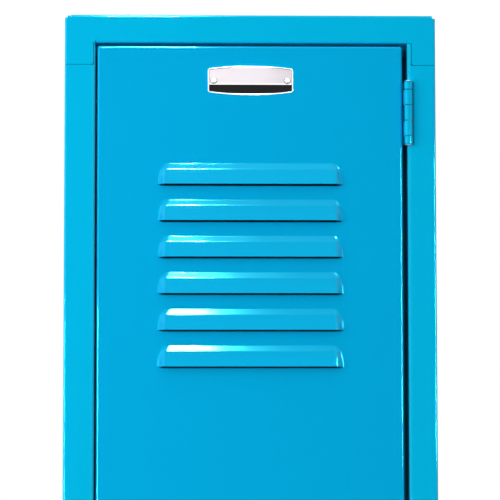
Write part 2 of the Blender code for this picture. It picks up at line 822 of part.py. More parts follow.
def plate_outline():
    """The plate's outline: bowed along top and bottom, corners clipped."""
    half_width = PLATE_WIDTH / 2
    half_height = PLATE_HEIGHT / 2
    top = []
    for step in range(PLATE_BOW_STEPS + 1):
        share = 1.0 - 2.0 * step / PLATE_BOW_STEPS
        bow = PLATE_BOW * (1.0 - share * share)
        top.append((share * (half_width - PLATE_CLIP), half_height + bow))
    shoulder = half_height - PLATE_CLIP
    upper = [(half_width, shoulder)] + top + [(-half_width, shoulder)]
    outline = upper + [(-x, -z) for x, z in upper]
    return [(x, PLATE_LEVEL + z) for x, z in outline]


def make_name_plate(plate_material, rivet_material):
    """A bare plate held to the door by two domed rivets."""
    bm = prism(plate_outline(), "xz", -FIT - PLATE_SHEET, -FIT)
    plate = place("name_plate", bm, plate_material, "door")
    front = -FIT - PLATE_SHEET - FIT
    back = DOOR_SHEET + FIT
    names = ("plate_rivet_left", "plate_rivet_right")
    for name, x in zip(names, rivet_places()):
        hole = prism(circle((x, PLATE_LEVEL), RIVET_SHANK + FIT, RIVET_SIDES), "xz", front, 0.0)
        combine(plate, hole, "DIFFERENCE", "door")
        profile = [
            (0.0, RIVET_CROWN),
            (RIVET_HEAD * 0.6, RIVET_CROWN * 0.8),
            (RIVET_HEAD, 0.0),
            (RIVET_SHANK, 0.0),
            (RIVET_SHANK, front - back),
            (RIVET_HEAD, front - back),
            (RIVET_HEAD * 0.6, front - back - RIVET_CROWN),
            (0.0, front - back - RIVET_CROWN),
        ]
        bm = turned(profile, (x, front, PLATE_LEVEL), (0.0, -1.0, 0.0), RIVET_SIDES)
        place(name, bm, rivet_material, "door")


# Hinges


def knuckle_rows():
    """Lower and upper level of each knuckle, from the bottom of a hinge."""
    lengths = (END_KNUCKLE, LONG_KNUCKLE, LONG_KNUCKLE, LONG_KNUCKLE, END_KNUCKLE)
    total = sum(lengths) + FIT * (len(lengths) - 1)
    rows = []
    level = -total / 2
    for length in lengths:
        rows.append((level, level + length))
        level += length + FIT
    return rows


def make_leaf(name, level, left, web, rows, seat, material):
    """A hinge leaf: a plate in the gap beside the door, with webs out to its knuckles."""
    span = knuckle_rows()
    plate = rectangle((left, LEAF_START), (left + LEAF_SHEET, DOOR_THICKNESS))
    bm = prism(plate, "xy", level + span[0][0], level + span[-1][1])
    leaf = place(name, bm, material, seat)
    bore = PIN_RADIUS + FIT
    for row in rows:
        low, high = level + span[row][0], level + span[row][1]
        combine(leaf, prism(web, "xy", low, high), "UNION", seat)
        ring = prism(circle((AXIS_X, AXIS_Y), KNUCKLE_RADIUS, KNUCKLE_SIDES), "xy", low, high)
        combine(leaf, ring, "UNION", seat)
        hole = prism(circle((AXIS_X, AXIS_Y), bore, KNUCKLE_SIDES), "xy", low - FIT, high + FIT)
        combine(leaf, hole, "DIFFERENCE", seat)


def make_hinge(place_name, level, material):
    """A five-knuckle hinge: three knuckles on the frame, two on the door, and a headed pin."""
    wall = (KNUCKLE_RADIUS + PIN_RADIUS + FIT) / 2
    frame_left = OPEN_RIGHT - FIT - LEAF_SHEET
    root = LEAF_START + LEAF_SHEET / 2
    frame_web = rectangle((frame_left, AXIS_Y + wall), (frame_left + LEAF_SHEET, root))
    make_leaf("hinge_frame_leaf_" + place_name, level, frame_left, frame_web, (0, 2, 4), "cabinet", material)

    door_left = DOOR_RIGHT + FIT
    slant = math.radians(45)
    across = Vector((math.cos(slant), math.sin(slant))) * LEAF_SHEET / 2
    middle = Vector((AXIS_X, AXIS_Y)) + Vector((-math.sin(slant), math.cos(slant))) * wall
    door_web = [
        (door_left, root),
        tuple(middle - across),
        tuple(middle + across),
        (door_left + LEAF_SHEET, root),
    ]
    make_leaf("hinge_door_leaf_" + place_name, level, door_left, door_web, (1, 3), "door", material)

    rows = knuckle_rows()
    low, high = rows[0][0] - FIT, rows[-1][1] + FIT
    crown = []
    for step in range(PIN_HEAD_STEPS + 1):
        angle = math.pi / 2 * step / PIN_HEAD_STEPS
        crown.append((KNUCKLE_RADIUS * math.cos(angle), PIN_HEAD * math.sin(angle)))
    crown[-1] = (0.0, PIN_HEAD)
    upper = [(radius, high + height) for radius, height in crown]
    lower = [(radius, low - height) for radius, height in reversed(crown)]
    profile = lower + [(PIN_RADIUS, low), (PIN_RADIUS, high)] + upper
    bm = turned(profile, (AXIS_X, AXIS_Y, level), (0.0, 0.0, 1.0), KNUCKLE_SIDES)
    place("hinge_pin_" + place_name, bm, material, "cabinet")


# Latch


def make_lock_bar(material):
    """A channel inside the door edge, slotted where the frame hooks reach through it."""
    section = [
        (BAR_LEFT, BAR_FRONT),
        (BAR_LEFT, BAR_BACK),
        (BAR_RIGHT, BAR_BACK),
        (BAR_RIGHT, BAR_FRONT),
    ]
    outline = thicken(rounded(section, BAR_SHEET + INNER_BEND), -BAR_SHEET)
    low = HOOK_LEVELS["bottom"] - GUIDE_OFFSET - BAR_OVERRUN
    high = HOOK_LEVELS["top"] + BAR_OVERRUN
    bar = place("lock_bar", prism(outline, "xy", low, high), material, "latch")
    half = HOOK_SHEET / 2 + HOOK_SLOT_PLAY
    for level in HOOK_LEVELS.values():
        slot = box(
            (HOOK_X - half, BAR_WEB - BAR_SHEET, level + HOOK_NECK_TOP - HOOK_NECK - LIFT - HOOK_SLOT_PLAY),
            (HOOK_X + half, BAR_BACK + BAR_SHEET, level + HOOK_NECK_TOP + HOOK_SLOT_PLAY),
        )
        combine(bar, slot, "DIFFERENCE", "latch")


def make_guide(name, level, material):
    """A plastic saddle on the door's latch channel that the lock bar slides in."""
    left = BAR_LEFT - FIT
    right = BAR_RIGHT + FIT
    back = BAR_BACK + FIT
    section = [(left, back - GUIDE_DEPTH), (left, back), (right, back), (right, back - GUIDE_DEPTH)]
    outline = thicken([Vector(point) for point in section], GUIDE_WALL)
    bm = prism(outline, "xy", level - GUIDE_LENGTH / 2, level + GUIDE_LENGTH / 2)
    place(name, bm, material, "door")


def make_frame_hook(name, level, material):
    """A plate hook on the latch-side strike: the bar drops behind its nose."""
    back = STRIKE_FACE - FIT
    nose = BAR_WEB - HOOK_PLAY
    top = level + HOOK_NECK_TOP
    low = top - HOOK_NECK
    tip = nose - HOOK_NOSE
    side_view = [
        (back, low),
        (back, top),
        (nose, top),
        (nose, level + HOOK_NOSE_TOP),
        (nose - HOOK_NOSE_FLAT, level + HOOK_NOSE_TOP),
        (tip, level + HOOK_NECK_TOP / 2),
        (tip, level - HOOK_NECK_TOP / 2),
        (nose - HOOK_NOSE_FLAT, low),
    ]
    half = HOOK_SHEET / 2
    hook = place(name, prism(side_view, "yz", HOOK_X - half, HOOK_X + half), material, "cabinet")
    base = box(
        (OPEN_LEFT + FRAME_BEND, back - HOOK_SHEET, level - HOOK_BASE_HEIGHT / 2),
        (HOOK_X + half / 2, back - FIT / 2, level + HOOK_BASE_HEIGHT / 2),
    )
    combine(hook, base, "UNION", "cabinet")


def make_silencer(name, level, material):
    """A rubber button on the strike that the door closes against."""
    height = STRIKE_GAP - 2 * FIT
    profile = [
        (0.0, 0.0),
        (SILENCER_RADIUS, 0.0),
        (SILENCER_RADIUS, height * 0.4),
        (SILENCER_RADIUS * 0.8, height * 0.85),
        (SILENCER_RADIUS * 0.5, height),
        (0.0, height),
    ]
    centre = (OPEN_LEFT + STRIKE_WIDTH / 2, STRIKE_FACE - FIT, level + SILENCER_RISE)
    bm = turned(profile, centre, (0.0, -1.0, 0.0), KNUCKLE_SIDES)
    place(name, bm, material, "cabinet")


# Handle


def pocket_loop(width, height, corner):
    """One level of the pocket's round-cornered wall."""
    return rounded_rectangle((POCKET_X, HANDLE_HEIGHT), width, height, corner, POCKET_CORNER_STEPS)


def pocket_hole_outline():
    """The hole in the door that the pocket drops into."""
    grow = 2 * (POCKET_SHEET + POCKET_HOLE_PLAY)
    return pocket_loop(POCKET_WIDTH + grow, POCKET_HEIGHT + grow, POCKET_CORNER + grow / 2)


def make_pocket(material):
    """The drawn pocket: a bezel on the door face, drafted walls and a flat floor."""
    front = -FIT - POCKET_SHEET
    levels = (
        (POCKET_LIP + POCKET_BEZEL, front),
        (POCKET_LIP, front),
        (0.0, front + POCKET_LIP),
        (-POCKET_DRAFT + POCKET_LIP / 2, POCKET_DEPTH - POCKET_LIP),
        (-POCKET_DRAFT - POCKET_LIP / 2, POCKET_DEPTH),
    )
    bm = bmesh.new()
    rings = []
    for grow, level in levels:
        outline = pocket_loop(POCKET_WIDTH + 2 * grow, POCKET_HEIGHT + 2 * grow, POCKET_CORNER + grow)
        rings.append([bm.verts.new((x, level, z)) for x, z in outline])
    for outer, inner in zip(rings, rings[1:]):
        for i in range(len(outer)):
            j = (i + 1) % len(outer)
            bm.faces.new((outer[i], outer[j], inner[j], inner[i]))
    bm.faces.new(rings[-1])
    pocket = sheet("handle_pocket", bm, POCKET_SHEET, material, "door")
    half = TRIGGER_HEIGHT / 2
    slot_back = TRIGGER_FRONT + TRIGGER_SHEET + 2 * FIT
    slot = box(
        (BAR_RIGHT, TRIGGER_FRONT - 2 * FIT, HANDLE_HEIGHT - half - FIT),
        (POCKET_X - POCKET_WIDTH / 4, slot_back, HANDLE_HEIGHT + half + LIFT + FIT),
    )
    combine(pocket, slot, "DIFFERENCE", "door")


def eye_hole(low, high):
    """The cutter for the padlock shackle, along X."""
    return prism(circle((EYE_Y, HANDLE_HEIGHT), PADLOCK_HOLE, KNUCKLE_SIDES), "yz", low, high)


def make_trigger(material):
    """The bent plate that the fingers lift: tab on the lock bar, arm, lip and padlock eye."""
    tab = BAR_RIGHT + FIT
    section = [
        (tab, TRIGGER_FRONT + TRIGGER_TAB),
        (tab, TRIGGER_FRONT),
        (EYE_X, TRIGGER_FRONT),
        (EYE_X, -PADLOCK_EYE_FRONT),
    ]
    outline = thicken(rounded(section, TRIGGER_SHEET + INNER_BEND), TRIGGER_SHEET)
    half = TRIGGER_HEIGHT / 2
    bm = prism(outline, "xy", HANDLE_HEIGHT - half, HANDLE_HEIGHT + half)
    trigger = place("lift_trigger", bm, material, "latch")
    low = HANDLE_HEIGHT - half
    lip_end = EYE_X - TRIGGER_SHEET - COVER_WALL
    lip = box(
        (lip_end - TRIGGER_LIP, TRIGGER_FRONT - TRIGGER_LIP_REACH, low),
        (lip_end, TRIGGER_FRONT + TRIGGER_SHEET / 2, low + TRIGGER_SHEET),
    )
    combine(trigger, lip, "UNION", "latch")
    combine(trigger, eye_hole(EYE_X - 2 * TRIGGER_SHEET, EYE_X + 2 * TRIGGER_SHEET), "DIFFERENCE", "latch")


def make_trigger_cover(material):
    """A moulded sleeve round the front of the trigger's lip."""
    low = HANDLE_HEIGHT - TRIGGER_HEIGHT / 2
    front = TRIGGER_FRONT - TRIGGER_LIP_REACH - FIT
    back = front + COVER_DEPTH
    section = [
        (back, low + TRIGGER_SHEET + FIT),
        (front, low + TRIGGER_SHEET + FIT),
        (front, low - FIT),
        (back, low - FIT),
    ]
    outline = thicken([Vector(point) for point in section], -COVER_WALL)
    end = EYE_X - TRIGGER_SHEET - COVER_WALL
    bm = prism(outline, "yz", end - TRIGGER_LIP, end)
    place("trigger_cover", bm, material, "latch")


def make_staple(material):
    """The fixed padlock staple beside the trigger's eye, riveted to the pocket floor."""
    left = EYE_X + TRIGGER_SHEET + FIT
    floor = POCKET_DEPTH - FIT
    section = [(left + STAPLE_FOOT, floor), (left, floor), (left, -PADLOCK_EYE_FRONT)]
    outline = thicken(rounded(section, TRIGGER_SHEET + INNER_BEND), TRIGGER_SHEET)
    half = TRIGGER_HEIGHT / 2
    bm = prism(outline, "xy", HANDLE_HEIGHT - half, HANDLE_HEIGHT + half)
    staple = place("padlock_staple", bm, material, "door")
    combine(staple, eye_hole(left - TRIGGER_SHEET, left + 2 * TRIGGER_SHEET), "DIFFERENCE", "door")


def main():
    for obj in list(bpy.data.objects):
        bpy.data.objects.remove(obj, do_unlink=True)

    blue = finish("locker_paint", 0, 172, 222, 0.32, 0.0)
    frame_blue = finish("frame_paint", 2, 182, 229, 0.32, 0.0)
    zinc = finish("zinc_plate", 176, 180, 184, 0.35, 1.0)
    stainless = finish("stainless", 196, 198, 200, 0.28, 1.0)
    bright = finish("bright_plate", 222, 222, 226, 0.22, 1.0)
    nylon = finish("nylon", 232, 230, 220, 0.5, 0.0)
    black = finish("black_plastic", 22, 22, 24, 0.45, 0.0)
    rubber = finish("rubber", 40, 40, 42, 0.8, 0.0)

    add_empty("cabinet_origin", "cabinet", None)
    add_empty("door_axis", "door", "cabinet")
    add_empty("latch_slide", "latch", "door")

    make_upright("frame_upright_latch_side", -1, OPEN_LEFT, LATCH_EAR_INSET, STRIKE_WIDTH, frame_blue)
    make_upright("frame_upright_hinge_side", 1, OPEN_RIGHT, HINGE_EAR_INSET, HINGE_STRIKE_WIDTH, frame_blue)
    make_top_rail(frame_blue)
    make_bottom_rail(frame_blue)
    for name, side, jamb in (("left", -1, OPEN_LEFT), ("right", 1, OPEN_RIGHT)):
        make_front_foot("front_foot_" + name, side, jamb, frame_blue)
        make_side_panel("side_panel_" + name, side, blue)
        make_rear_leg("rear_leg_" + name, side, frame_blue)
    make_back_panel(blue)
    make_trays(blue)
    make_coat_hooks(zinc)

    make_door_panel(blue)
    make_name_plate(bright, bright)
    for name, level in HINGE_LEVELS.items():
        make_hinge(name, level, frame_blue)

    make_lock_bar(zinc)
    for name, level in HOOK_LEVELS.items():
        make_frame_hook("frame_hook_" + name, level, zinc)
        make_silencer("silencer_" + name, level, rubber)
        make_guide("lock_bar_guide_" + name, level - GUIDE_OFFSET, nylon)
    make_pocket(stainless)
    make_trigger(zinc)
    make_trigger_cover(black)
    make_staple(zinc)


main()
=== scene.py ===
"""School locker: enamel, bright parts, fasteners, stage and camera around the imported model."""
import json
from math import pi, radians

import bpy
from bpy.props import FloatProperty, FloatVectorProperty, IntProperty, PointerProperty
from mathutils import Matrix, Vector


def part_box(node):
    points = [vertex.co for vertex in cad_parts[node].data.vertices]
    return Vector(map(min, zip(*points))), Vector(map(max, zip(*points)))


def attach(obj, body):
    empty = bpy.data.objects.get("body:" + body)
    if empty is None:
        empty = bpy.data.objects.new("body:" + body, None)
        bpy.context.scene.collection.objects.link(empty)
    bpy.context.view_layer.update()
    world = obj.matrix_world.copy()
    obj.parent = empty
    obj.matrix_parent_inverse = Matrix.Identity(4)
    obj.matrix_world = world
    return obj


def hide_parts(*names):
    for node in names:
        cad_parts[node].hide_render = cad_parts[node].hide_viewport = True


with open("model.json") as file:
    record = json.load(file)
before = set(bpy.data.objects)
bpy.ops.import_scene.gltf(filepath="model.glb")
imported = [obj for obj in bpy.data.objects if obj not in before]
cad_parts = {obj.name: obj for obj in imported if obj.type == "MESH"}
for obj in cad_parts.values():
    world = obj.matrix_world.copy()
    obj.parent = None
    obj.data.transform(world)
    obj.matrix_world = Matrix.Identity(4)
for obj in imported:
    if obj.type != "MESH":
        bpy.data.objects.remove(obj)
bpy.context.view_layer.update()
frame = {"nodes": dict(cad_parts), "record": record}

bl_info = {
    "name": "School locker",
    "version": (1, 0, 0),
    "blender": (4, 5, 0),
    "location": "View3D > Sidebar > Locker",
    "description": "Finishes a steel school locker: louvred door, frame, latch, fittings and stage",
    "category": "Object",
}

NODE_SLOTS = {row["node"]: row["material_slot"] for row in frame["record"]["subparts"]}
HINGE_ROWS = ("top", "middle", "bottom")
KNUCKLE_SEAMS = (0.1213, 0.3738, 0.6262, 0.8787)  # shares of a hinge's height
WHITE = (1.0, 1.0, 1.0, 1.0)

# Tolerances
MERGE_DISTANCE = 1e-6
FLAT_ANGLE = radians(0.2)
BEND_ANGLE = radians(42.0)
RIM_ANGLE = radians(60.0)
FACING = 0.9
FACING_SQUARELY = 0.99

# Radii of eased cut edges
STEEL_EDGE = 0.0002
HOOK_EDGE = 0.0003
GUIDE_EDGE = 0.0004
RUBBER_EDGE = 0.0005
COVER_EDGE = 0.0006

# Fasteners, as shares of a head's radius or height
HEAD_SIDES = 28
HEAD_SINK = 0.2
CROWN = 0.9
CROSS_WIDTH = 0.2
CROSS_LENGTH = 1.15
CROSS_DEPTH = 0.7
CROSS_TAPER = 0.55
SIDE_BOLTS = (0.25, 0.55, 0.85)  # shares of a side panel's depth

# Name plate
SLOPE_STEPS = 2.4  # width of the slope inside the rim, in plate steps
SLOPE_NORMALS = (0.3, 0.97)
RIM_ROUNDING = 0.6  # of a plate step

# Where painted shade (in the hinge gap, the barrel grooves, the knuckle seams and under the
# rivets), rubbed gloss and bare pin heads show, from the edges that they follow
GAP_SHADE_BESIDE = 0.008
GAP_SHADE_FADE = 0.012
GAP_SHADE_FOOT = 0.004
GAP_SHADE_HEAD = 0.002
GAP_SHADE_DEPTH = (0.0005, 0.005)
OFF_FACE = 0.0003
BARREL_REACH = 0.0015
GROOVE_START = 0.001
GROOVE_END = (0.0014, 0.0026)
SEAM_HALF = (0.0003, 0.0006)
RING_WIDTH = (0.0005, 0.0011)
RING_RISE = (-0.3, 0.6)  # of a rivet's radius
RUBBED_FRONT = 0.0002
RUBBED_WIDTH = (0.0024, 0.0030)
RUBBED_DEPTH = (0.0018, 0.0028)
PIN_CROWN = (0.0016, 0.0008)

# Painted shades and dulling of those places
RUBBED_EDGE_PAINTED_SHADE = 0.8
RUBBED_DULLING = 0.75
SHADE_DULLING = 0.3
RIVET_SHADOW_SHADE = 0.12
ENAMEL_GLINT = (0.03, 0.78, 0.8, 1.0)

# Stage
FLOOR_DROP = 0.0005
FLOOR_FADE = (0.04, 0.2)  # shares of the floor's size
CEILING_RISE = (0.1, 0.95)
FLAT_LAMP = 1.0 / 3.0
SENSOR_WIDTH = 36.0
CLIP_START = 0.05
CLIP_END = 60.0


def srgb(red, green, blue):
    """A linear colour, with full alpha, from eight-bit display values."""
    channels = [value / 255.0 for value in (red, green, blue)]
    linear = [c / 12.92 if c <= 0.04045 else ((c + 0.055) / 1.055) ** 2.4 for c in channels]
    return (*linear, 1.0)


def scaled(colour, factor):
    """A colour made lighter or darker."""
    return (*(min(1.0, channel * factor) for channel in colour[:3]), 1.0)


# Settings


def colour_property(name, description, default):
    return FloatVectorProperty(
        name=name, description=description, default=default,
        size=4, min=0.0, max=1.0, subtype="COLOR",
    )


def length_property(name, description, default):
    return FloatProperty(
        name=name, description=description, default=default, min=0.0, unit="LENGTH"
    )


def place_property(name, description, default):
    return FloatVectorProperty(
        name=name, description=description, default=default, size=3, subtype="TRANSLATION"
    )


def power_property(name, description, default):
    return FloatProperty(
        name=name, description=description, default=default, min=0.0, unit="POWER"
    )


class LockerFinishes(bpy.types.PropertyGroup):
    door_colour: colour_property(
        "Door enamel", "Enamel of the door and the body", srgb(0, 167, 222)
    )
    frame_colour: colour_property(
        "Frame enamel", "Enamel of the door frame and hinges", srgb(0, 180, 228)
    )
    # Painted shade in the grooves beside the hinge barrels and the seams between their knuckles
    groove_shade_colour: colour_property("Groove shade", "Enamel in the seams of the hinges", srgb(0, 75, 132))
    zinc_colour: colour_property("Zinc", "Zinc plate of the latch and hooks", srgb(186, 190, 196))
    steel_colour: colour_property(
        "Stainless", "Brushed steel of the handle pocket", srgb(196, 198, 200)
    )
    plate_colour: colour_property(
        "Plate", "Satin aluminium of the name plate", srgb(229, 222, 228)
    )
    rim_colour: colour_property("Plate rim", "Polished rim of the name plate", srgb(196, 206, 210))
    band_colour: colour_property("Plate band", "Dark band along the name plate", srgb(14, 13, 15))
    nylon_colour: colour_property("Nylon", "Guides of the lock bar", srgb(228, 225, 212))
    plastic_colour: colour_property("Plastic", "Cover of the lift trigger", srgb(24, 24, 26))
    rubber_colour: colour_property("Rubber", "Silencers on the frame", srgb(44, 44, 46))
    gloss: FloatProperty(
        name="Enamel roughness", description="Roughness of the enamel",
        default=0.07, min=0.0, max=1.0, subtype="FACTOR",
    )
    # Painted shade: how dark the enamel is painted deep in the gap by the hinges
    gap_shade: FloatProperty(
        name="Gap shade", description="Painted shade of the enamel deep in the gap by the hinges",
        default=0.4, min=0.0, max=1.0, subtype="FACTOR",
    )
    peel: length_property("Orange peel", "Depth of the ripple in the enamel", 0.00002)


class LockerFittings(bpy.types.PropertyGroup):
    plate_rim: length_property("Plate rim", "Width of the raised rim of the name plate", 0.0004)
    plate_step: length_property("Plate step", "Depth of the field inside the rim", 0.0003)
    corner_radius: length_property(
        "Corner radius", "Radius of the closed corners of the door", 0.00208
    )
    band_drop: length_property(
        "Band drop", "From the plate's middle down to its dark band", 0.00345
    )
    line_drop: length_property(
        "Line drop", "From the plate's middle down to the pale line", 0.0022
    )
    bolt_radius: length_property("Bolt radius", "Radius of a body bolt's head", 0.0052)
    bolt_height: length_property("Bolt height", "Height of a body bolt's head", 0.0015)
    rivet_radius: length_property("Rivet radius", "Radius of a rivet's head", 0.0030)
    rivet_height: length_property("Rivet height", "Height of a rivet's head", 0.0011)
    edge_inset: length_property("Bolt inset", "From a panel's edge in to its bolts", 0.014)
    bolt_rows: IntProperty(
        name="Bolt rows", description="Bolts along an upright edge", default=6, min=2
    )


class LockerStage(bpy.types.PropertyGroup):
    floor_size: length_property("Floor size", "Side of the square floor", 12.0)
    floor_colour: colour_property("Floor", "Pale floor", srgb(232, 232, 232))
    sky_light: FloatProperty(
        name="Sky light", description="Strength of the light from all round", default=0.54, min=0.0
    )
    sky_rise: FloatProperty(
        name="Sky rise", description="How much stronger the light is overhead",
        default=0.31, min=0.0,
    )
    ceiling_shine: FloatProperty(
        name="Ceiling shine", description="How much brighter the ceiling shows in gloss",
        default=2.2, min=0.0,
    )
    side_power: power_property("Side power", "Power of the soft lamp to the left", 7.8)
    side_size: length_property("Side size", "Side of the soft lamp to the left", 0.9)
    side_place: place_property("Side place", "Where the soft lamp stands", (-0.90, -0.95, 1.60))
    strip_power: power_property("Strip power", "Power of the small lamp overhead", 115.0)
    strip_size: length_property("Strip size", "Width of the small lamp overhead", 0.14)
    strip_place: place_property("Strip place", "Where the small lamp hangs", (-0.10, -1.247, 3.09))
    end_power: power_property("End power", "Power of the small lamp to the right", 30.0)
    end_size: length_property("End size", "Width of the small lamp to the right", 0.14)
    end_place: place_property(
        "End place", "Where the small lamp to the right hangs", (0.848, -1.388, 2.481)
    )
    edge_height: length_property(
        "Edge lamp height", "Height of the lamps that edge the door", 0.42
    )
    right_width: length_property(
        "Right width", "Width of the lamp that edges the door on its right", 0.32
    )
    right_power: power_property(
        "Right power", "Power of the lamp that edges the door on its right", 52.0
    )
    right_place: place_property(
        "Right place", "Where the right edge lamp stands", (1.045, -1.11, 1.515)
    )
    left_width: length_property(
        "Left width", "Width of the lamp that edges the door on its left", 0.06
    )
    left_power: power_property(
        "Left power", "Power of the lamp that edges the door on its left", 33.0
    )
    left_place: place_property(
        "Left place", "Where the left edge lamp stands", (-0.729, -0.859, 1.29)
    )
    lamp_target: place_property("Lamp target", "What the lamps point at", (0.0, -0.187, 1.46))
    camera_place: place_property(
        "Camera place", "Where the camera stands", (-0.05485, -2.187, 1.3222)
    )
    camera_turn: FloatVectorProperty(
        name="Camera turn", description="Pitch, roll and yaw from straight ahead",
        default=(radians(4.573), radians(0.051), radians(-1.556)), size=3, subtype="EULER",
    )
    lens: FloatProperty(
        name="Lens", description="Focal length on a 36 mm sensor",
        default=176.99, min=1.0, unit="CAMERA",
    )


# Finishes


class Signal:
    """A socket of a finish. Sums and products of signals add their Math nodes."""

    def __init__(self, tree, socket=None):
        self.tree = tree
        self.socket = socket

    def node(self, kind, settings=None, inputs=None, output=0):
        """Adds a node: its settings first, then the value or link of each socket."""
        made = self.tree.nodes.new(kind)
        for key, value in (settings or {}).items():
            if key == "stops":
                ramp = made.color_ramp
                while len(ramp.elements) < len(value):
                    ramp.elements.new(1.0)
                for element, (place, colour) in zip(ramp.elements, value):
                    element.position = place
                    element.color = colour
            else:
                setattr(made, key, value)
        for key, value in (inputs or {}).items():
            if isinstance(value, Signal):
                self.tree.links.new(value.socket, made.inputs[key])
            else:
                made.inputs[key].default_value = value
        return Signal(self.tree, made.outputs[output] if made.outputs else None)

    def math(self, operation, first, second):
        return self.node("ShaderNodeMath", {"operation": operation}, {0: first, 1: second})

    def __add__(self, other):
        return self.math("ADD", self, other)

    __radd__ = __add__

    def __sub__(self, other):
        return self.math("SUBTRACT", self, other)

    def __rsub__(self, other):
        return self.math("SUBTRACT", other, self)

    def __mul__(self, other):
        return self.math("MULTIPLY", self, other)

    __rmul__ = __mul__

    def __abs__(self):
        return self.math("ABSOLUTE", self, 0.0)

    def __gt__(self, other):
        return self.math("GREATER_THAN", self, other)

    def __lt__(self, other):
        return self.math("LESS_THAN", self, other)

    def ramp(self, low, high):
        """A smooth step from 0 at low to 1 at high."""
        return self.node(
            "ShaderNodeMapRange",
            {"interpolation_type": "SMOOTHSTEP"},
            {"Value": self, "From Min": low, "From Max": high},
        )

    def mix(self, first, second):
        """A colour between two others, by this signal."""
        return self.node("ShaderNodeMix", {"data_type": "RGBA"}, {0: self, 6: first, 7: second}, 2)

    def noise(self, scale, detail=2.0, stretch=(1.0, 1.0, 1.0)):
        """Cloudy variation over this place, with that many cells to the metre."""
        place = self.node("ShaderNodeVectorMath", {"operation": "MULTIPLY"}, {0: self, 1: stretch})
        inputs = {"Vector": place, "Scale": scale, "Detail": detail}
        return self.node("ShaderNodeTexNoise", {}, inputs)

    def axis(self, name):
        """One coordinate of this place."""
        return self.node("ShaderNodeSeparateXYZ", {}, {0: self}, "XYZ".index(name))


class Finish:
    """A material with its shader and the place on the object that patterns follow."""

    def __init__(self, name, **constants):
        self.material = bpy.data.materials.new(name)
        self.material.use_nodes = True
        self.tree = self.material.node_tree
        self.shader = self.tree.nodes["Principled BSDF"]
        self.place = Signal(self.tree).node("ShaderNodeTexCoord", output="Object")
        for key, value in constants.items():
            self.shader.inputs[key.replace("_", " ")].default_value = value

    def feed(self, socket, signal):
        self.tree.links.new(signal.socket, self.shader.inputs[socket])

    def bump(self, height, depth, strength=1.0):
        """Raises the surface by a height signal, at most by depth."""
        normal = height.node(
            "ShaderNodeBump", {}, {"Strength": strength, "Distance": depth, "Height": height}
        )
        self.feed("Normal", normal)


def seen_directly(signal):
    """1 where the camera sees a surface, straight or in a mirror or through glass."""
    rays = [
        signal.node("ShaderNodeLightPath", output=name)
        for name in ("Is Camera Ray", "Is Glossy Ray", "Is Transmission Ray")
    ]
    return signal.math("MAXIMUM", signal.math("MAXIMUM", rays[0], rays[1]), rays[2])


def frame_face():
    """Where the front of the door frame lies, along Y."""
    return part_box("frame_top_rail")[0].y


def hinge_jamb(place):
    """Painted shade deep in the gap beside the hinges, where shade falls: 1 there, 0 on the front
    of the frame.
    """
    low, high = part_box("door_panel")
    across, depth, level = place.axis("X"), place.axis("Y") - frame_face(), place.axis("Z")
    inner = across.ramp(high.x - GAP_SHADE_FADE, high.x - GAP_SHADE_BESIDE)
    beside = inner * (across < high.x + GAP_SHADE_BESIDE)
    foot = level.ramp(low.z, low.z + GAP_SHADE_FOOT)
    head = level.ramp(high.z - GAP_SHADE_HEAD, high.z + GAP_SHADE_HEAD)
    return beside * (foot * (1.0 - head)) * depth.ramp(*GAP_SHADE_DEPTH)


def hinge_groove_shade(place):
    """Painted shade where shade falls: 1 in the groove beside each hinge barrel and in the seams
    between its knuckles.
    """
    across, depth, level = place.axis("X"), place.axis("Y") - frame_face(), place.axis("Z")
    groove_shade = 0.0
    for row in HINGE_ROWS:
        pin_low, pin_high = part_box("hinge_pin_" + row)
        low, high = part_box("hinge_frame_leaf_" + row)
        axis, radius = (pin_low + pin_high) / 2.0, (pin_low.y + pin_high.y) / 2.0 - low.y
        right = axis.x + radius
        above = level.ramp(high.z, high.z + BARREL_REACH)
        below = level.ramp(low.z - BARREL_REACH, low.z)
        inner = across.ramp(right - GROOVE_START, right)
        outer = across.ramp(*(right + edge for edge in GROOVE_END))
        groove = inner * (1.0 - outer)
        groove_shade = (1.0 - above) * below * (depth > -OFF_FACE) * groove + groove_shade
        for share in KNUCKLE_SEAMS:
            away = abs(level - (low.z + (high.z - low.z) * share))
            groove_shade = (depth < -OFF_FACE) * (1.0 - away.ramp(*SEAM_HALF)) + groove_shade
    return groove_shade


def rivet_ring(place, node):
    """Painted shadow: 1 in a crescent under the lower edge of a rivet on the name plate."""
    low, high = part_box(node)
    middle, radius = (low + high) / 2.0, (high.x - low.x) / 2.0
    across, rise = place.axis("X") - middle.x, place.axis("Z") - middle.z
    away = place.math("POWER", across * across + rise * rise, 0.5)
    outside = away.ramp(*(radius + width for width in RING_WIDTH))
    above = rise.ramp(*(radius * share for share in RING_RISE))
    return (1.0 - outside) * (1.0 - above)


def opening_edges(place):
    """1 along the edges of the frame beside the door, where the gloss is rubbed off; the enamel
    there is also painted a little darker, a painted shade.
    """
    low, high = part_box("frame_bottom_rail")
    middle, half = (low.x + high.x) / 2.0, (high.x - low.x) / 2.0
    door_low, door_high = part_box("door_panel")
    depth, level = place.axis("Y") - frame_face(), place.axis("Z")
    aside = abs(place.axis("X") - middle).ramp(*(half + width for width in RUBBED_WIDTH))
    within = (level > door_low.z) * (level < door_high.z)
    front = (depth > -RUBBED_FRONT) * (1.0 - depth.ramp(*RUBBED_DEPTH))
    return (1.0 - aside) * within * front


def pin_ends(place):
    """1 on the heads of the hinge pins, 0 between them."""
    ends = place.noise(900.0, 2.0) * 0.3 + 0.8
    for row in HINGE_ROWS:
        low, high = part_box("hinge_pin_" + row)
        half = (high.z - low.z) / 2.0
        away = abs(place.axis("Z") - (low.z + half))
        ends = ends * away.ramp(*(half - crown for crown in PIN_CROWN))
    return ends


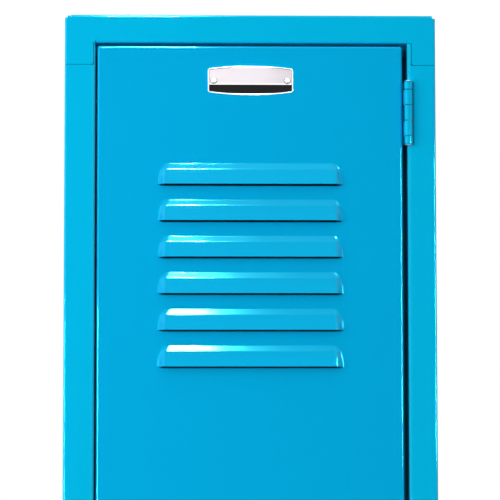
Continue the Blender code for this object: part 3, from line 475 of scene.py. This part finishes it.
def enamel(name, colour, settings, marks=(), bare=None):
    """Gloss stove enamel with drift of shade, orange peel and scratches.

    Each mark gives its mask, its colour and how much it dulls the gloss; on the frame these colours
    are painted shade. Bare is a mask too.
    """
    finish = Finish(name, Specular_IOR_Level=0.5, Specular_Tint=ENAMEL_GLINT)
    drift = finish.place.noise(3.0, 2.0)
    film = finish.place.noise(45.0, 3.0)
    scratch = finish.place.noise(160.0, 2.0, (1.0, 1.0, 0.04)).ramp(0.68, 0.74)
    shade = (drift * 0.7 + film * 0.3).mix(scaled(colour, 0.955), scaled(colour, 1.045))
    paint = (scratch * 0.25).mix(shade, scaled(colour, 0.9))
    rough = film * 0.04 + scratch * 0.02 + (settings.gloss - 0.02)
    for mask, marked, dulling in marks:
        mark = mask(finish.place)
        paint = mark.mix(paint, marked)
        rough = rough + mark * dulling
    if bare:
        metal = bare(finish.place)
        paint = metal.mix(paint, settings.zinc_colour)
        rough = rough + metal * 0.15
        finish.feed("Metallic", metal)
    finish.feed("Base Color", paint)
    finish.feed("Roughness", rough)
    finish.bump(finish.place.noise(420.0, 1.0), settings.peel, 0.35)
    return finish.material


def zinc_plate(name, colour):
    """Bright zinc plate: faint spangle, rolling marks along the strip and dull fingered spots."""
    finish = Finish(name, Metallic=1.0)
    spangle = finish.place.node(
        "ShaderNodeTexVoronoi", {}, {"Vector": finish.place, "Scale": 260.0}, "Color"
    )
    grain = spangle.node("ShaderNodeSeparateColor", {}, {0: spangle}, 0)
    marks = finish.place.noise(900.0, 2.0, (1.0, 1.0, 0.03))
    dull = finish.place.noise(35.0, 3.0).ramp(0.45, 0.75)
    tarnish = grain * 0.35 + dull * 0.4
    finish.feed("Base Color", tarnish.mix(scaled(colour, 1.06), scaled(colour, 0.78)))
    finish.feed("Roughness", marks * 0.14 + dull * 0.12 + 0.22)
    finish.bump(marks, 0.00002, 0.4)
    return finish.material


def brushed_steel(name, colour):
    """Stainless steel brushed upright, with smears where fingers reach in."""
    finish = Finish(name, Metallic=1.0)
    brush = finish.place.noise(1500.0, 3.0, (1.0, 1.0, 0.012))
    smear = finish.place.noise(40.0, 3.0).ramp(0.5, 0.72)
    shade = brush * 0.7 + smear * 0.3
    finish.feed("Base Color", shade.mix(scaled(colour, 1.08), scaled(colour, 0.82)))
    finish.feed("Roughness", brush * 0.16 + smear * 0.12 + 0.2)
    finish.bump(brush, 0.00003, 0.5)
    return finish.material


def satin_plate(name, colour, band_colour, middle, settings):
    """Satin aluminium with a printed dark band under a pale line."""
    finish = Finish(name, Specular_IOR_Level=0.08)
    drop = middle - finish.place.axis("Z")
    band = drop > settings.band_drop
    line = (drop > settings.line_drop) * (1.0 - band)
    brush = finish.place.noise(1300.0, 2.0, (0.02, 1.0, 1.0))
    cloud = finish.place.noise(28.0, 2.0)
    silver = (cloud * 0.8 + brush * 0.2).mix(scaled(colour, 0.86), scaled(colour, 1.06))
    # Painted shade: the field is painted darker towards its right end
    shaded_right = finish.place.axis("X").ramp(-0.002, 0.034) * (cloud * 0.5 + 0.5)
    silver = shaded_right.mix(silver, scaled(colour, 0.7))
    printed = band.mix(line.mix(silver, scaled(colour, 1.2)), band_colour)
    # Painted shadow under the lower edge of each rivet
    for side in ("left", "right"):
        ring = rivet_ring(finish.place, "plate_rivet_" + side)
        printed = ring.mix(printed, scaled(colour, RIVET_SHADOW_SHADE))
    finish.feed("Base Color", printed)
    finish.feed("Metallic", (1.0 - band) * 0.6)
    finish.feed("Roughness", brush * 0.1 + band * 0.1 + 0.2)
    finish.bump(brush, 0.00001, 0.4)
    return finish.material


def step_shade_line(name, colour, line_colour):
    """The line on the slope inside the plate's rim: painted shade of the step, patchy, dark towards
    its ends and bare in the middle.
    """
    finish = Finish(name, Roughness=0.45)
    across = abs(finish.place.axis("X"))
    patchy = finish.place.noise(160.0, 2.0)
    step_shade = across.ramp(0.008, 0.020) * (patchy * 0.5 + 0.6)
    finish.feed("Base Color", step_shade.mix(colour, line_colour))
    finish.feed("Metallic", 0.7 - step_shade * 0.7)
    return finish.material


def bright_rim(name, colour):
    """Polished aluminium edge, with fine tool lines."""
    finish = Finish(name, Metallic=0.85)
    lines = finish.place.noise(1100.0, 2.0, (0.05, 1.0, 1.0))
    patchy = finish.place.noise(90.0, 2.0)
    finish.feed("Base Color", patchy.mix(scaled(colour, 0.9), scaled(colour, 1.15)))
    finish.feed("Roughness", lines * 0.1 + patchy * 0.08 + 0.26)
    finish.bump(lines, 0.00001, 0.3)
    return finish.material


def moulded(name, colour, rough, texture):
    """Moulded plastic or rubber: fine mould texture, handling sheen and slight fading."""
    finish = Finish(name, Specular_IOR_Level=0.4)
    grain = finish.place.noise(texture, 2.0)
    fade = finish.place.noise(30.0, 3.0)
    shade = grain * 0.3 + fade * 0.7
    finish.feed("Base Color", shade.mix(scaled(colour, 0.85), scaled(colour, 1.15)))
    finish.feed("Roughness", grain * 0.12 + fade * 0.1 + rough)
    finish.bump(grain, 0.00005, 0.4)
    return finish.material


def make_finishes(scene):
    """A material for each slot of the record, and those of the hinge pins and the name plate."""
    settings = scene.locker_finishes
    frame_marks = (
        # Painted shade deep in the gap beside the hinges
        (hinge_jamb, scaled(settings.frame_colour, settings.gap_shade), SHADE_DULLING),
        # Painted shade in the grooves beside the hinge barrels and in the knuckle seams
        (hinge_groove_shade, settings.groove_shade_colour, SHADE_DULLING),
        # Rubbed gloss along the opening edges, also painted a little darker as painted shade
        (opening_edges, scaled(settings.frame_colour, RUBBED_EDGE_PAINTED_SHADE), RUBBED_DULLING),
    )
    low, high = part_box("name_plate")
    middle = (low.z + high.z) / 2.0
    return {
        "locker_paint": enamel("locker_paint", settings.door_colour, settings),
        "frame_paint": enamel("frame_paint", settings.frame_colour, settings, frame_marks),
        "pin_paint": enamel("pin_paint", settings.frame_colour, settings, bare=pin_ends),
        "zinc_plate": zinc_plate("zinc_plate", settings.zinc_colour),
        "stainless": brushed_steel("stainless", settings.steel_colour),
        "bright_plate": bright_rim("bright_plate", settings.rim_colour),
        "plate_field": satin_plate(
            "plate_field", settings.plate_colour, settings.band_colour, middle,
            scene.locker_fittings,
        ),
        "plate_line": step_shade_line("plate_line", settings.plate_colour, settings.band_colour),
        "nylon": moulded("nylon", settings.nylon_colour, 0.36, 700.0),
        "black_plastic": moulded("black_plastic", settings.plastic_colour, 0.38, 900.0),
        "rubber": moulded("rubber", settings.rubber_colour, 0.6, 1200.0),
    }


def finish_of(slot):
    """The material of a slot, made on first use."""
    if slot not in bpy.data.materials or "locker_ready" not in bpy.data.materials[slot]:
        for old in [m for m in bpy.data.materials if m.name == slot]:
            old.name = "cad_" + slot
        for material in make_finishes(bpy.context.scene).values():
            material["locker_ready"] = True
    return bpy.data.materials[slot]


# Shaping


def only(piece):
    """Leaves one piece selected and active, in object mode."""
    if bpy.context.object and bpy.context.object.mode != "OBJECT":
        bpy.ops.object.mode_set(mode="OBJECT")
    bpy.ops.object.select_all(action="DESELECT")
    piece.select_set(True)
    bpy.context.view_layer.objects.active = piece
    return piece


def pick_faces(piece, test):
    """Selects, in edit mode, the faces whose middle and normal pass a test."""
    bpy.ops.object.mode_set(mode="OBJECT")
    for item in (*piece.data.vertices, *piece.data.edges):
        item.select = False
    for face in piece.data.polygons:
        face.select = test(face.center, face.normal)
    bpy.ops.object.mode_set(mode="EDIT")
    bpy.ops.mesh.select_mode(type="FACE")


def modify(piece, kind, **settings):
    """Adds a modifier and applies it."""
    only(piece)
    modifier = piece.modifiers.new(kind.title(), kind)
    for key, value in settings.items():
        setattr(modifier, key, value)
    bpy.ops.object.modifier_apply(modifier=modifier.name)


def smooth(piece, angle=BEND_ANGLE):
    """Smooth over bends, crisp at cut edges, and level on the flats."""
    only(piece)
    bpy.ops.object.shade_smooth_by_angle(angle=angle)
    modify(piece, "WEIGHTED_NORMAL", keep_sharp=True, weight=50)


def skin(node, edge=0.0):
    """A merged copy of a CAD node, its cut edges eased by an edge radius."""
    mesh = frame["nodes"][node].data.copy()
    mesh.materials.clear()
    piece = bpy.data.objects.new(node + "_skin", mesh)
    mesh.name = piece.name
    bpy.context.collection.objects.link(piece)
    only(piece)
    if mesh.has_custom_normals:
        bpy.ops.mesh.customdata_custom_splitnormals_clear()
    bpy.ops.object.mode_set(mode="EDIT")
    bpy.ops.mesh.select_all(action="SELECT")
    bpy.ops.mesh.remove_doubles(threshold=MERGE_DISTANCE)
    bpy.ops.mesh.normals_make_consistent(inside=False)
    if edge:
        bpy.ops.mesh.dissolve_limited(angle_limit=FLAT_ANGLE)
    bpy.ops.object.mode_set(mode="OBJECT")
    if edge:
        modify(
            piece, "BEVEL", width=edge, segments=2, limit_method="ANGLE", angle_limit=BEND_ANGLE,
            use_clamp_overlap=True, harden_normals=False,
        )
        bpy.ops.object.mode_set(mode="EDIT")
        bpy.ops.mesh.select_all(action="SELECT")
        bpy.ops.mesh.dissolve_degenerate(threshold=MERGE_DISTANCE)
        bpy.ops.object.mode_set(mode="OBJECT")
    return piece


def body_of(node):
    """The body that a CAD node rides on."""
    bodies = frame["record"]["behaviour"]["bodies"]
    return next(name for name, nodes in bodies.items() if node in nodes)


def settle(piece, body, slot, *nodes):
    """Gives a finished piece its material, its body and the CAD nodes it stands for."""
    if not piece.data.materials:
        piece.data.materials.append(finish_of(slot))
    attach(piece, body)
    if nodes:
        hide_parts(*nodes)
    return piece


def dress(*nodes, edge=0.0):
    """Skins for CAD nodes, smooth over their bends, in their own finish."""
    for node in nodes:
        piece = skin(node, edge)
        smooth(piece)
        settle(piece, body_of(node), NODE_SLOTS[node], node)


def join(pieces, name):
    """Pieces made one, under a name, at the origin."""
    only(pieces[0])
    for piece in pieces[1:]:
        piece.select_set(True)
    if len(pieces) > 1:
        bpy.ops.object.join()
    joined = bpy.context.object
    bpy.ops.object.transform_apply(location=True, rotation=True, scale=True)
    joined.name = joined.data.name = name
    return joined


def spread(pattern, places, name):
    """Copies of a piece that stands on +Z, each with its own mesh, at points along directions."""
    copies = []
    for point, direction in places:
        copy = pattern.copy()
        copy.data = pattern.data.copy()
        bpy.context.collection.objects.link(copy)
        turn = Vector((0.0, 0.0, 1.0)).rotation_difference(Vector(direction))
        copy.matrix_world = Matrix.Translation(point) @ turn.to_matrix().to_4x4()
        copies.append(copy)
    bpy.context.view_layer.update()
    return join(copies, name)


def widest_face(node, direction):
    """The middle of the largest face of a node's skin that looks along a direction."""
    faces = bpy.data.objects[node + "_skin"].data.polygons
    facing = [face for face in faces if face.normal.dot(Vector(direction)) > FACING_SQUARELY]
    return max(facing, key=lambda face: face.area).center.copy()


def drop_pattern(pattern):
    """Removes a pattern piece after its copies are made."""
    mesh = pattern.data
    bpy.data.objects.remove(pattern)
    bpy.data.meshes.remove(mesh)


def make_head(name, radius, height, sink):
    """A pan head that stands on +Z, with a rounded crown, sunk a little into what carries it."""
    bpy.ops.object.select_all(action="DESELECT")
    bpy.ops.mesh.primitive_cylinder_add(
        vertices=HEAD_SIDES, radius=radius, depth=height + sink,
        location=(0.0, 0.0, (height - sink) / 2.0),
    )
    head = bpy.context.object
    head.name = name
    bpy.ops.object.transform_apply(location=True, rotation=True, scale=True)
    pick_faces(head, lambda middle, normal: normal.z > FACING)
    bpy.ops.mesh.bevel(
        offset=height * CROWN, segments=5, profile=0.5, affect="EDGES", clamp_overlap=True
    )
    bpy.ops.object.mode_set(mode="OBJECT")
    return head


def cut_cross(head, radius, height):
    """Sinks a cross recess into a pan head."""
    width, length, depth = radius * CROSS_WIDTH, radius * CROSS_LENGTH, height * CROSS_DEPTH
    arms = []
    for size in ((length, width), (width, length)):
        bpy.ops.object.select_all(action="DESELECT")
        bpy.ops.mesh.primitive_cube_add(size=1.0, location=(0.0, 0.0, height))
        arm = bpy.context.object
        arm.scale = (*size, depth * 2.0)
        bpy.ops.object.transform_apply(location=True, rotation=True, scale=True)
        pick_faces(arm, lambda middle, normal: normal.z < -FACING)
        bpy.ops.transform.resize(
            value=(CROSS_TAPER, CROSS_TAPER, 1.0), center_override=(0.0, 0.0, height - depth)
        )
        bpy.ops.object.mode_set(mode="OBJECT")
        arms.append(arm)
    for arm in arms:
        modify(head, "BOOLEAN", operation="DIFFERENCE", object=arm, solver="EXACT")
        drop_pattern(arm)
    return head


# Operators


class LOCKER_OT_frame(bpy.types.Operator):
    """Door frame with its feet: folded enamelled sheet"""

    bl_idname = "locker.frame"
    bl_label = "Door frame"

    def execute(self, context):
        dress(
            "frame_upright_latch_side", "frame_upright_hinge_side", "frame_top_rail",
            "frame_bottom_rail", "front_foot_left", "front_foot_right",
        )
        return {"FINISHED"}


class LOCKER_OT_body(bpy.types.Operator):
    """Body sheets, shelf and rear legs"""

    bl_idname = "locker.body"
    bl_label = "Body"

    def execute(self, context):
        dress(
            "side_panel_left", "side_panel_right", "back_panel", "top_panel", "bottom_panel",
            "hat_shelf", "rear_leg_left", "rear_leg_right",
        )
        return {"FINISHED"}


class LOCKER_OT_door(bpy.types.Operator):
    """Louvred door pan with its corners welded shut"""

    bl_idname = "locker.door"
    bl_label = "Door"

    def execute(self, context):
        dress("door_panel")
        radius = context.scene.locker_fittings.corner_radius
        low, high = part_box("door_panel")
        face = frame_face()
        bpy.ops.object.select_all(action="DESELECT")
        bpy.ops.mesh.primitive_uv_sphere_add(segments=24, ring_count=12, radius=radius)
        bead = bpy.context.object
        pick_faces(bead, lambda middle, normal: middle.z < 0.0)
        bpy.ops.mesh.extrude_region_move(
            TRANSFORM_OT_translate={"value": (0.0, 0.0, face + 3.0 * radius - high.y)}
        )
        bpy.ops.object.mode_set(mode="OBJECT")
        places = [
            (Vector((x, face + radius, z)), (0.0, -1.0, 0.0))
            for x in (low.x + radius, high.x - radius) for z in (low.z + radius, high.z - radius)
        ]
        corners = spread(bead, places, "door_corners")
        smooth(corners)
        settle(corners, "door", "locker_paint")
        drop_pattern(bead)
        return {"FINISHED"}


class LOCKER_OT_hinges(bpy.types.Operator):
    """Knuckle hinges, painted with the frame"""

    bl_idname = "locker.hinges"
    bl_label = "Hinges"

    def execute(self, context):
        for row in HINGE_ROWS:
            dress("hinge_frame_leaf_" + row, "hinge_door_leaf_" + row, edge=STEEL_EDGE)
            pin = skin("hinge_pin_" + row)
            smooth(pin)
            pin.data.materials.append(finish_of("pin_paint"))
            settle(pin, body_of("hinge_pin_" + row), "frame_paint", "hinge_pin_" + row)
        return {"FINISHED"}


class LOCKER_OT_name_plate(bpy.types.Operator):
    """Bare name plate: raised rim, satin field with a dark band, two rivets"""

    bl_idname = "locker.name_plate"
    bl_label = "Name plate"

    def execute(self, context):
        settings = context.scene.locker_fittings
        plate = skin("name_plate")
        only(plate)
        bpy.ops.object.mode_set(mode="EDIT")
        bpy.ops.mesh.select_all(action="SELECT")
        bpy.ops.mesh.dissolve_limited(angle_limit=FLAT_ANGLE)
        for finish in ("bright_plate", "plate_field", "plate_line"):
            plate.data.materials.append(finish_of(finish))
        pick_faces(plate, lambda middle, normal: normal.y < -FACING)
        bpy.ops.mesh.inset(thickness=settings.plate_rim, depth=0.0)
        bpy.ops.mesh.inset(
            thickness=SLOPE_STEPS * settings.plate_step, depth=-settings.plate_step
        )
        bpy.ops.object.mode_set(mode="OBJECT")
        # The slope inside the rim takes plate_line, the painted shade of the step
        steep, flat = SLOPE_NORMALS
        for face in plate.data.polygons:
            sloping = steep < -face.normal.y < flat
            face.material_index = 1 if face.select else 2 if sloping else 0
        modify(
            plate, "BEVEL", width=settings.plate_step * RIM_ROUNDING, segments=3,
            limit_method="ANGLE", angle_limit=RIM_ANGLE,
        )
        smooth(plate)
        settle(plate, "door", "bright_plate", "name_plate")
        dress("plate_rivet_left", "plate_rivet_right")
        return {"FINISHED"}


class LOCKER_OT_handle(bpy.types.Operator):
    """Recessed handle pocket, padlock staple, lift trigger and its cover"""

    bl_idname = "locker.handle"
    bl_label = "Handle"

    def execute(self, context):
        dress("handle_pocket")
        dress("padlock_staple", "lift_trigger", edge=STEEL_EDGE)
        dress("trigger_cover", edge=COVER_EDGE)
        return {"FINISHED"}


class LOCKER_OT_latch(bpy.types.Operator):
    """Lock bar, its guides, the frame hooks and the silencers"""

    bl_idname = "locker.latch"
    bl_label = "Latch"

    def execute(self, context):
        dress("lock_bar", edge=STEEL_EDGE)
        for row in HINGE_ROWS:
            dress("lock_bar_guide_" + row, edge=GUIDE_EDGE)
            dress("frame_hook_" + row, edge=HOOK_EDGE)
            dress("silencer_" + row, edge=RUBBER_EDGE)
        return {"FINISHED"}


class LOCKER_OT_coat_hooks(bpy.types.Operator):
    """Coat hooks bent from strip, with the rivets that hold them"""

    bl_idname = "locker.coat_hooks"
    bl_label = "Coat hooks"

    def execute(self, context):
        settings = context.scene.locker_fittings
        dress(
            "ceiling_hook", "coat_hook_left", "coat_hook_right", "coat_hook_back", edge=HOOK_EDGE
        )
        facing = {"left": (1.0, 0.0, 0.0), "right": (-1.0, 0.0, 0.0), "back": (0.0, -1.0, 0.0)}
        places = []
        for side, direction in facing.items():
            node = "coat_hook_" + side
            middle = widest_face(node, direction)
            middle.z = (middle.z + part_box(node)[1].z) / 2.0
            places.append((middle, direction))
        height = settings.rivet_height
        head = make_head("rivet_pattern", settings.rivet_radius, height, height * HEAD_SINK)
        rivets = spread(head, places, "hook_rivets")
        smooth(rivets)
        settle(rivets, "cabinet", "zinc_plate")
        drop_pattern(head)
        return {"FINISHED"}


class LOCKER_OT_bolts(bpy.types.Operator):
    """Cross-head bolts that hold the body sheets together"""

    bl_idname = "locker.bolts"
    bl_label = "Body bolts"

    def execute(self, context):
        settings = context.scene.locker_fittings
        radius, height = settings.bolt_radius, settings.bolt_height
        head = make_head("bolt_pattern", radius, height, height * HEAD_SINK)
        cut_cross(head, radius, height)
        inset = settings.edge_inset
        low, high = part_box("back_panel")
        rows = [
            low.z + inset + (high.z - low.z - 2.0 * inset) * row / (settings.bolt_rows - 1)
            for row in range(settings.bolt_rows)
        ]
        back = [
            (Vector((x, high.y, z)), (0.0, 1.0, 0.0))
            for x in (low.x + inset, high.x - inset) for z in rows
        ]
        levels = []
        for node in ("bottom_panel", "hat_shelf", "top_panel"):
            tray_low, tray_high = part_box(node)
            levels.append((tray_low.z + tray_high.z) / 2.0)
        back += [
            (Vector((x, high.y, z)), (0.0, 1.0, 0.0))
            for x in (low.x / 3.0, high.x / 3.0) for z in levels
        ]
        settle(spread(head, back, "back_bolts"), "cabinet", "zinc_plate")
        for side, name in ((-1.0, "left"), (1.0, "right")):
            low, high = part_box("side_panel_" + name)
            face = low.x if side < 0.0 else high.x
            places = [
                (Vector((face, low.y + (high.y - low.y) * share, z)), (side, 0.0, 0.0))
                for share in SIDE_BOLTS for z in levels
            ]
            settle(spread(head, places, "side_bolts_" + name), "cabinet", "zinc_plate")
        drop_pattern(head)
        return {"FINISHED"}


class LOCKER_OT_stage(bpy.types.Operator):
    """Pale floor, soft light and the camera"""

    bl_idname = "locker.stage"
    bl_label = "Stage"

    def execute(self, context):
        scene = context.scene
        settings = scene.locker_stage
        scene.view_settings.view_transform = "Standard"
        self.lay_floor(settings)
        self.light_sky(scene, settings)
        side, strip, end = settings.side_size, settings.strip_size, settings.end_size
        right = (settings.right_width, settings.edge_height)
        left = (settings.left_width, settings.edge_height)
        target = settings.lamp_target
        self.hang_lamp("side_lamp", (side, side), settings.side_power, settings.side_place, target)
        for name, size, power, place in (
            ("strip_lamp", (strip, strip * FLAT_LAMP), settings.strip_power, settings.strip_place),
            ("end_lamp", (end, end * FLAT_LAMP), settings.end_power, settings.end_place),
            ("right_lamp", right, settings.right_power, settings.right_place),
            ("left_lamp", left, settings.left_power, settings.left_place),
        ):
            glint = self.hang_lamp(name, size, power, place, target)
            glint.visible_diffuse = False
        self.place_camera(scene, settings)
        return {"FINISHED"}

    def lay_floor(self, settings):
        bpy.ops.object.select_all(action="DESELECT")
        bpy.ops.mesh.primitive_plane_add(
            size=settings.floor_size, location=(0.0, 0.0, -FLOOR_DROP)
        )
        floor = bpy.context.object
        floor.name = "floor"
        bpy.ops.object.transform_apply(location=True, rotation=True, scale=True)
        finish = Finish("floor_finish", Specular_IOR_Level=0.1)
        cloud = finish.place.noise(1.5, 3.0)
        colour = settings.floor_colour
        finish.feed("Base Color", cloud.mix(scaled(colour, 0.98), scaled(colour, 1.02)))
        finish.feed("Roughness", cloud * 0.1 + 0.75)
        away = finish.place.node(
            "ShaderNodeVectorMath", {"operation": "LENGTH"}, {0: finish.place}, "Value"
        )
        far = away.ramp(*(settings.floor_size * share for share in FLOOR_FADE))
        shown = seen_directly(finish.place)
        white = far.node("ShaderNodeEmission", {}, {"Color": WHITE, "Strength": 1.0})
        surface = Signal(finish.tree, finish.shader.outputs["BSDF"])
        mixed = far.node("ShaderNodeMixShader", {}, {0: far * shown, 1: surface, 2: white})
        finish.tree.links.new(mixed.socket, finish.tree.nodes["Material Output"].inputs["Surface"])
        floor.data.materials.append(finish.material)

    def light_sky(self, scene, settings):
        world = bpy.data.worlds.new("sky")
        scene.world = world
        world.use_nodes = True
        tree = world.node_tree
        tree.nodes.clear()
        root = Signal(tree)
        shown = seen_directly(root)
        height = root.node("ShaderNodeTexCoord", output="Generated").axis("Z")
        strength = height * settings.sky_rise + settings.sky_light
        light = root.node("ShaderNodeBackground", {}, {"Color": WHITE, "Strength": strength})
        shine = height.ramp(*CEILING_RISE) * settings.ceiling_shine + 1.0
        white = root.node("ShaderNodeBackground", {}, {"Color": WHITE, "Strength": shine})
        mixed = root.node("ShaderNodeMixShader", {}, {0: shown, 1: light, 2: white})
        root.node("ShaderNodeOutputWorld", {"is_active_output": True}, {"Surface": mixed})

    def hang_lamp(self, name, size, power, place, target):
        lamp = bpy.data.lights.new(name, "AREA")
        lamp.shape = "RECTANGLE"
        lamp.size, lamp.size_y = size
        lamp.energy = power
        holder = bpy.data.objects.new(name, lamp)
        holder.location = place
        aim = Vector(target) - Vector(place)
        holder.rotation_euler = aim.to_track_quat("-Z", "Y").to_euler()
        bpy.context.collection.objects.link(holder)
        return holder

    def place_camera(self, scene, settings):
        pitch, roll, yaw = settings.camera_turn
        lens = bpy.data.cameras.new("camera")
        lens.sensor_width = SENSOR_WIDTH
        lens.sensor_fit = "HORIZONTAL"
        lens.lens = settings.lens
        lens.clip_start, lens.clip_end = CLIP_START, CLIP_END
        camera = bpy.data.objects.new("camera", lens)
        turn = Matrix.Rotation(yaw, 4, "Z") @ Matrix.Rotation(pitch, 4, "X")
        turn = turn @ Matrix.Rotation(roll, 4, "Y") @ Matrix.Rotation(pi / 2.0, 4, "X")
        camera.matrix_world = Matrix.Translation(Vector(settings.camera_place)) @ turn
        bpy.context.collection.objects.link(camera)
        scene.camera = camera


OPERATORS = (
    LOCKER_OT_frame,
    LOCKER_OT_body,
    LOCKER_OT_door,
    LOCKER_OT_hinges,
    LOCKER_OT_name_plate,
    LOCKER_OT_handle,
    LOCKER_OT_latch,
    LOCKER_OT_coat_hooks,
    LOCKER_OT_bolts,
    LOCKER_OT_stage,
)


class VIEW3D_PT_locker(bpy.types.Panel):
    """Steps that finish the locker, in order"""

    bl_label = "School locker"
    bl_space_type = "VIEW_3D"
    bl_region_type = "UI"
    bl_category = "Locker"

    def draw(self, context):
        for operator in OPERATORS:
            self.layout.operator(operator.bl_idname)


SETTINGS = (
    ("locker_finishes", LockerFinishes),
    ("locker_fittings", LockerFittings),
    ("locker_stage", LockerStage),
)
CLASSES = (*(group for _, group in SETTINGS), *OPERATORS, VIEW3D_PT_locker)


def register():
    for item in CLASSES:
        bpy.utils.register_class(item)
    for name, group in SETTINGS:
        setattr(bpy.types.Scene, name, PointerProperty(type=group))


def unregister():
    for name, _ in SETTINGS:
        delattr(bpy.types.Scene, name)
    for item in reversed(CLASSES):
        bpy.utils.unregister_class(item)


def main():
    register()
    bpy.ops.locker.frame()
    bpy.ops.locker.body()
    bpy.ops.locker.door()
    bpy.ops.locker.hinges()
    bpy.ops.locker.name_plate()
    bpy.ops.locker.handle()
    bpy.ops.locker.latch()
    bpy.ops.locker.coat_hooks()
    bpy.ops.locker.bolts()
    bpy.ops.locker.stage()


if __name__ == "__main__":
    main()
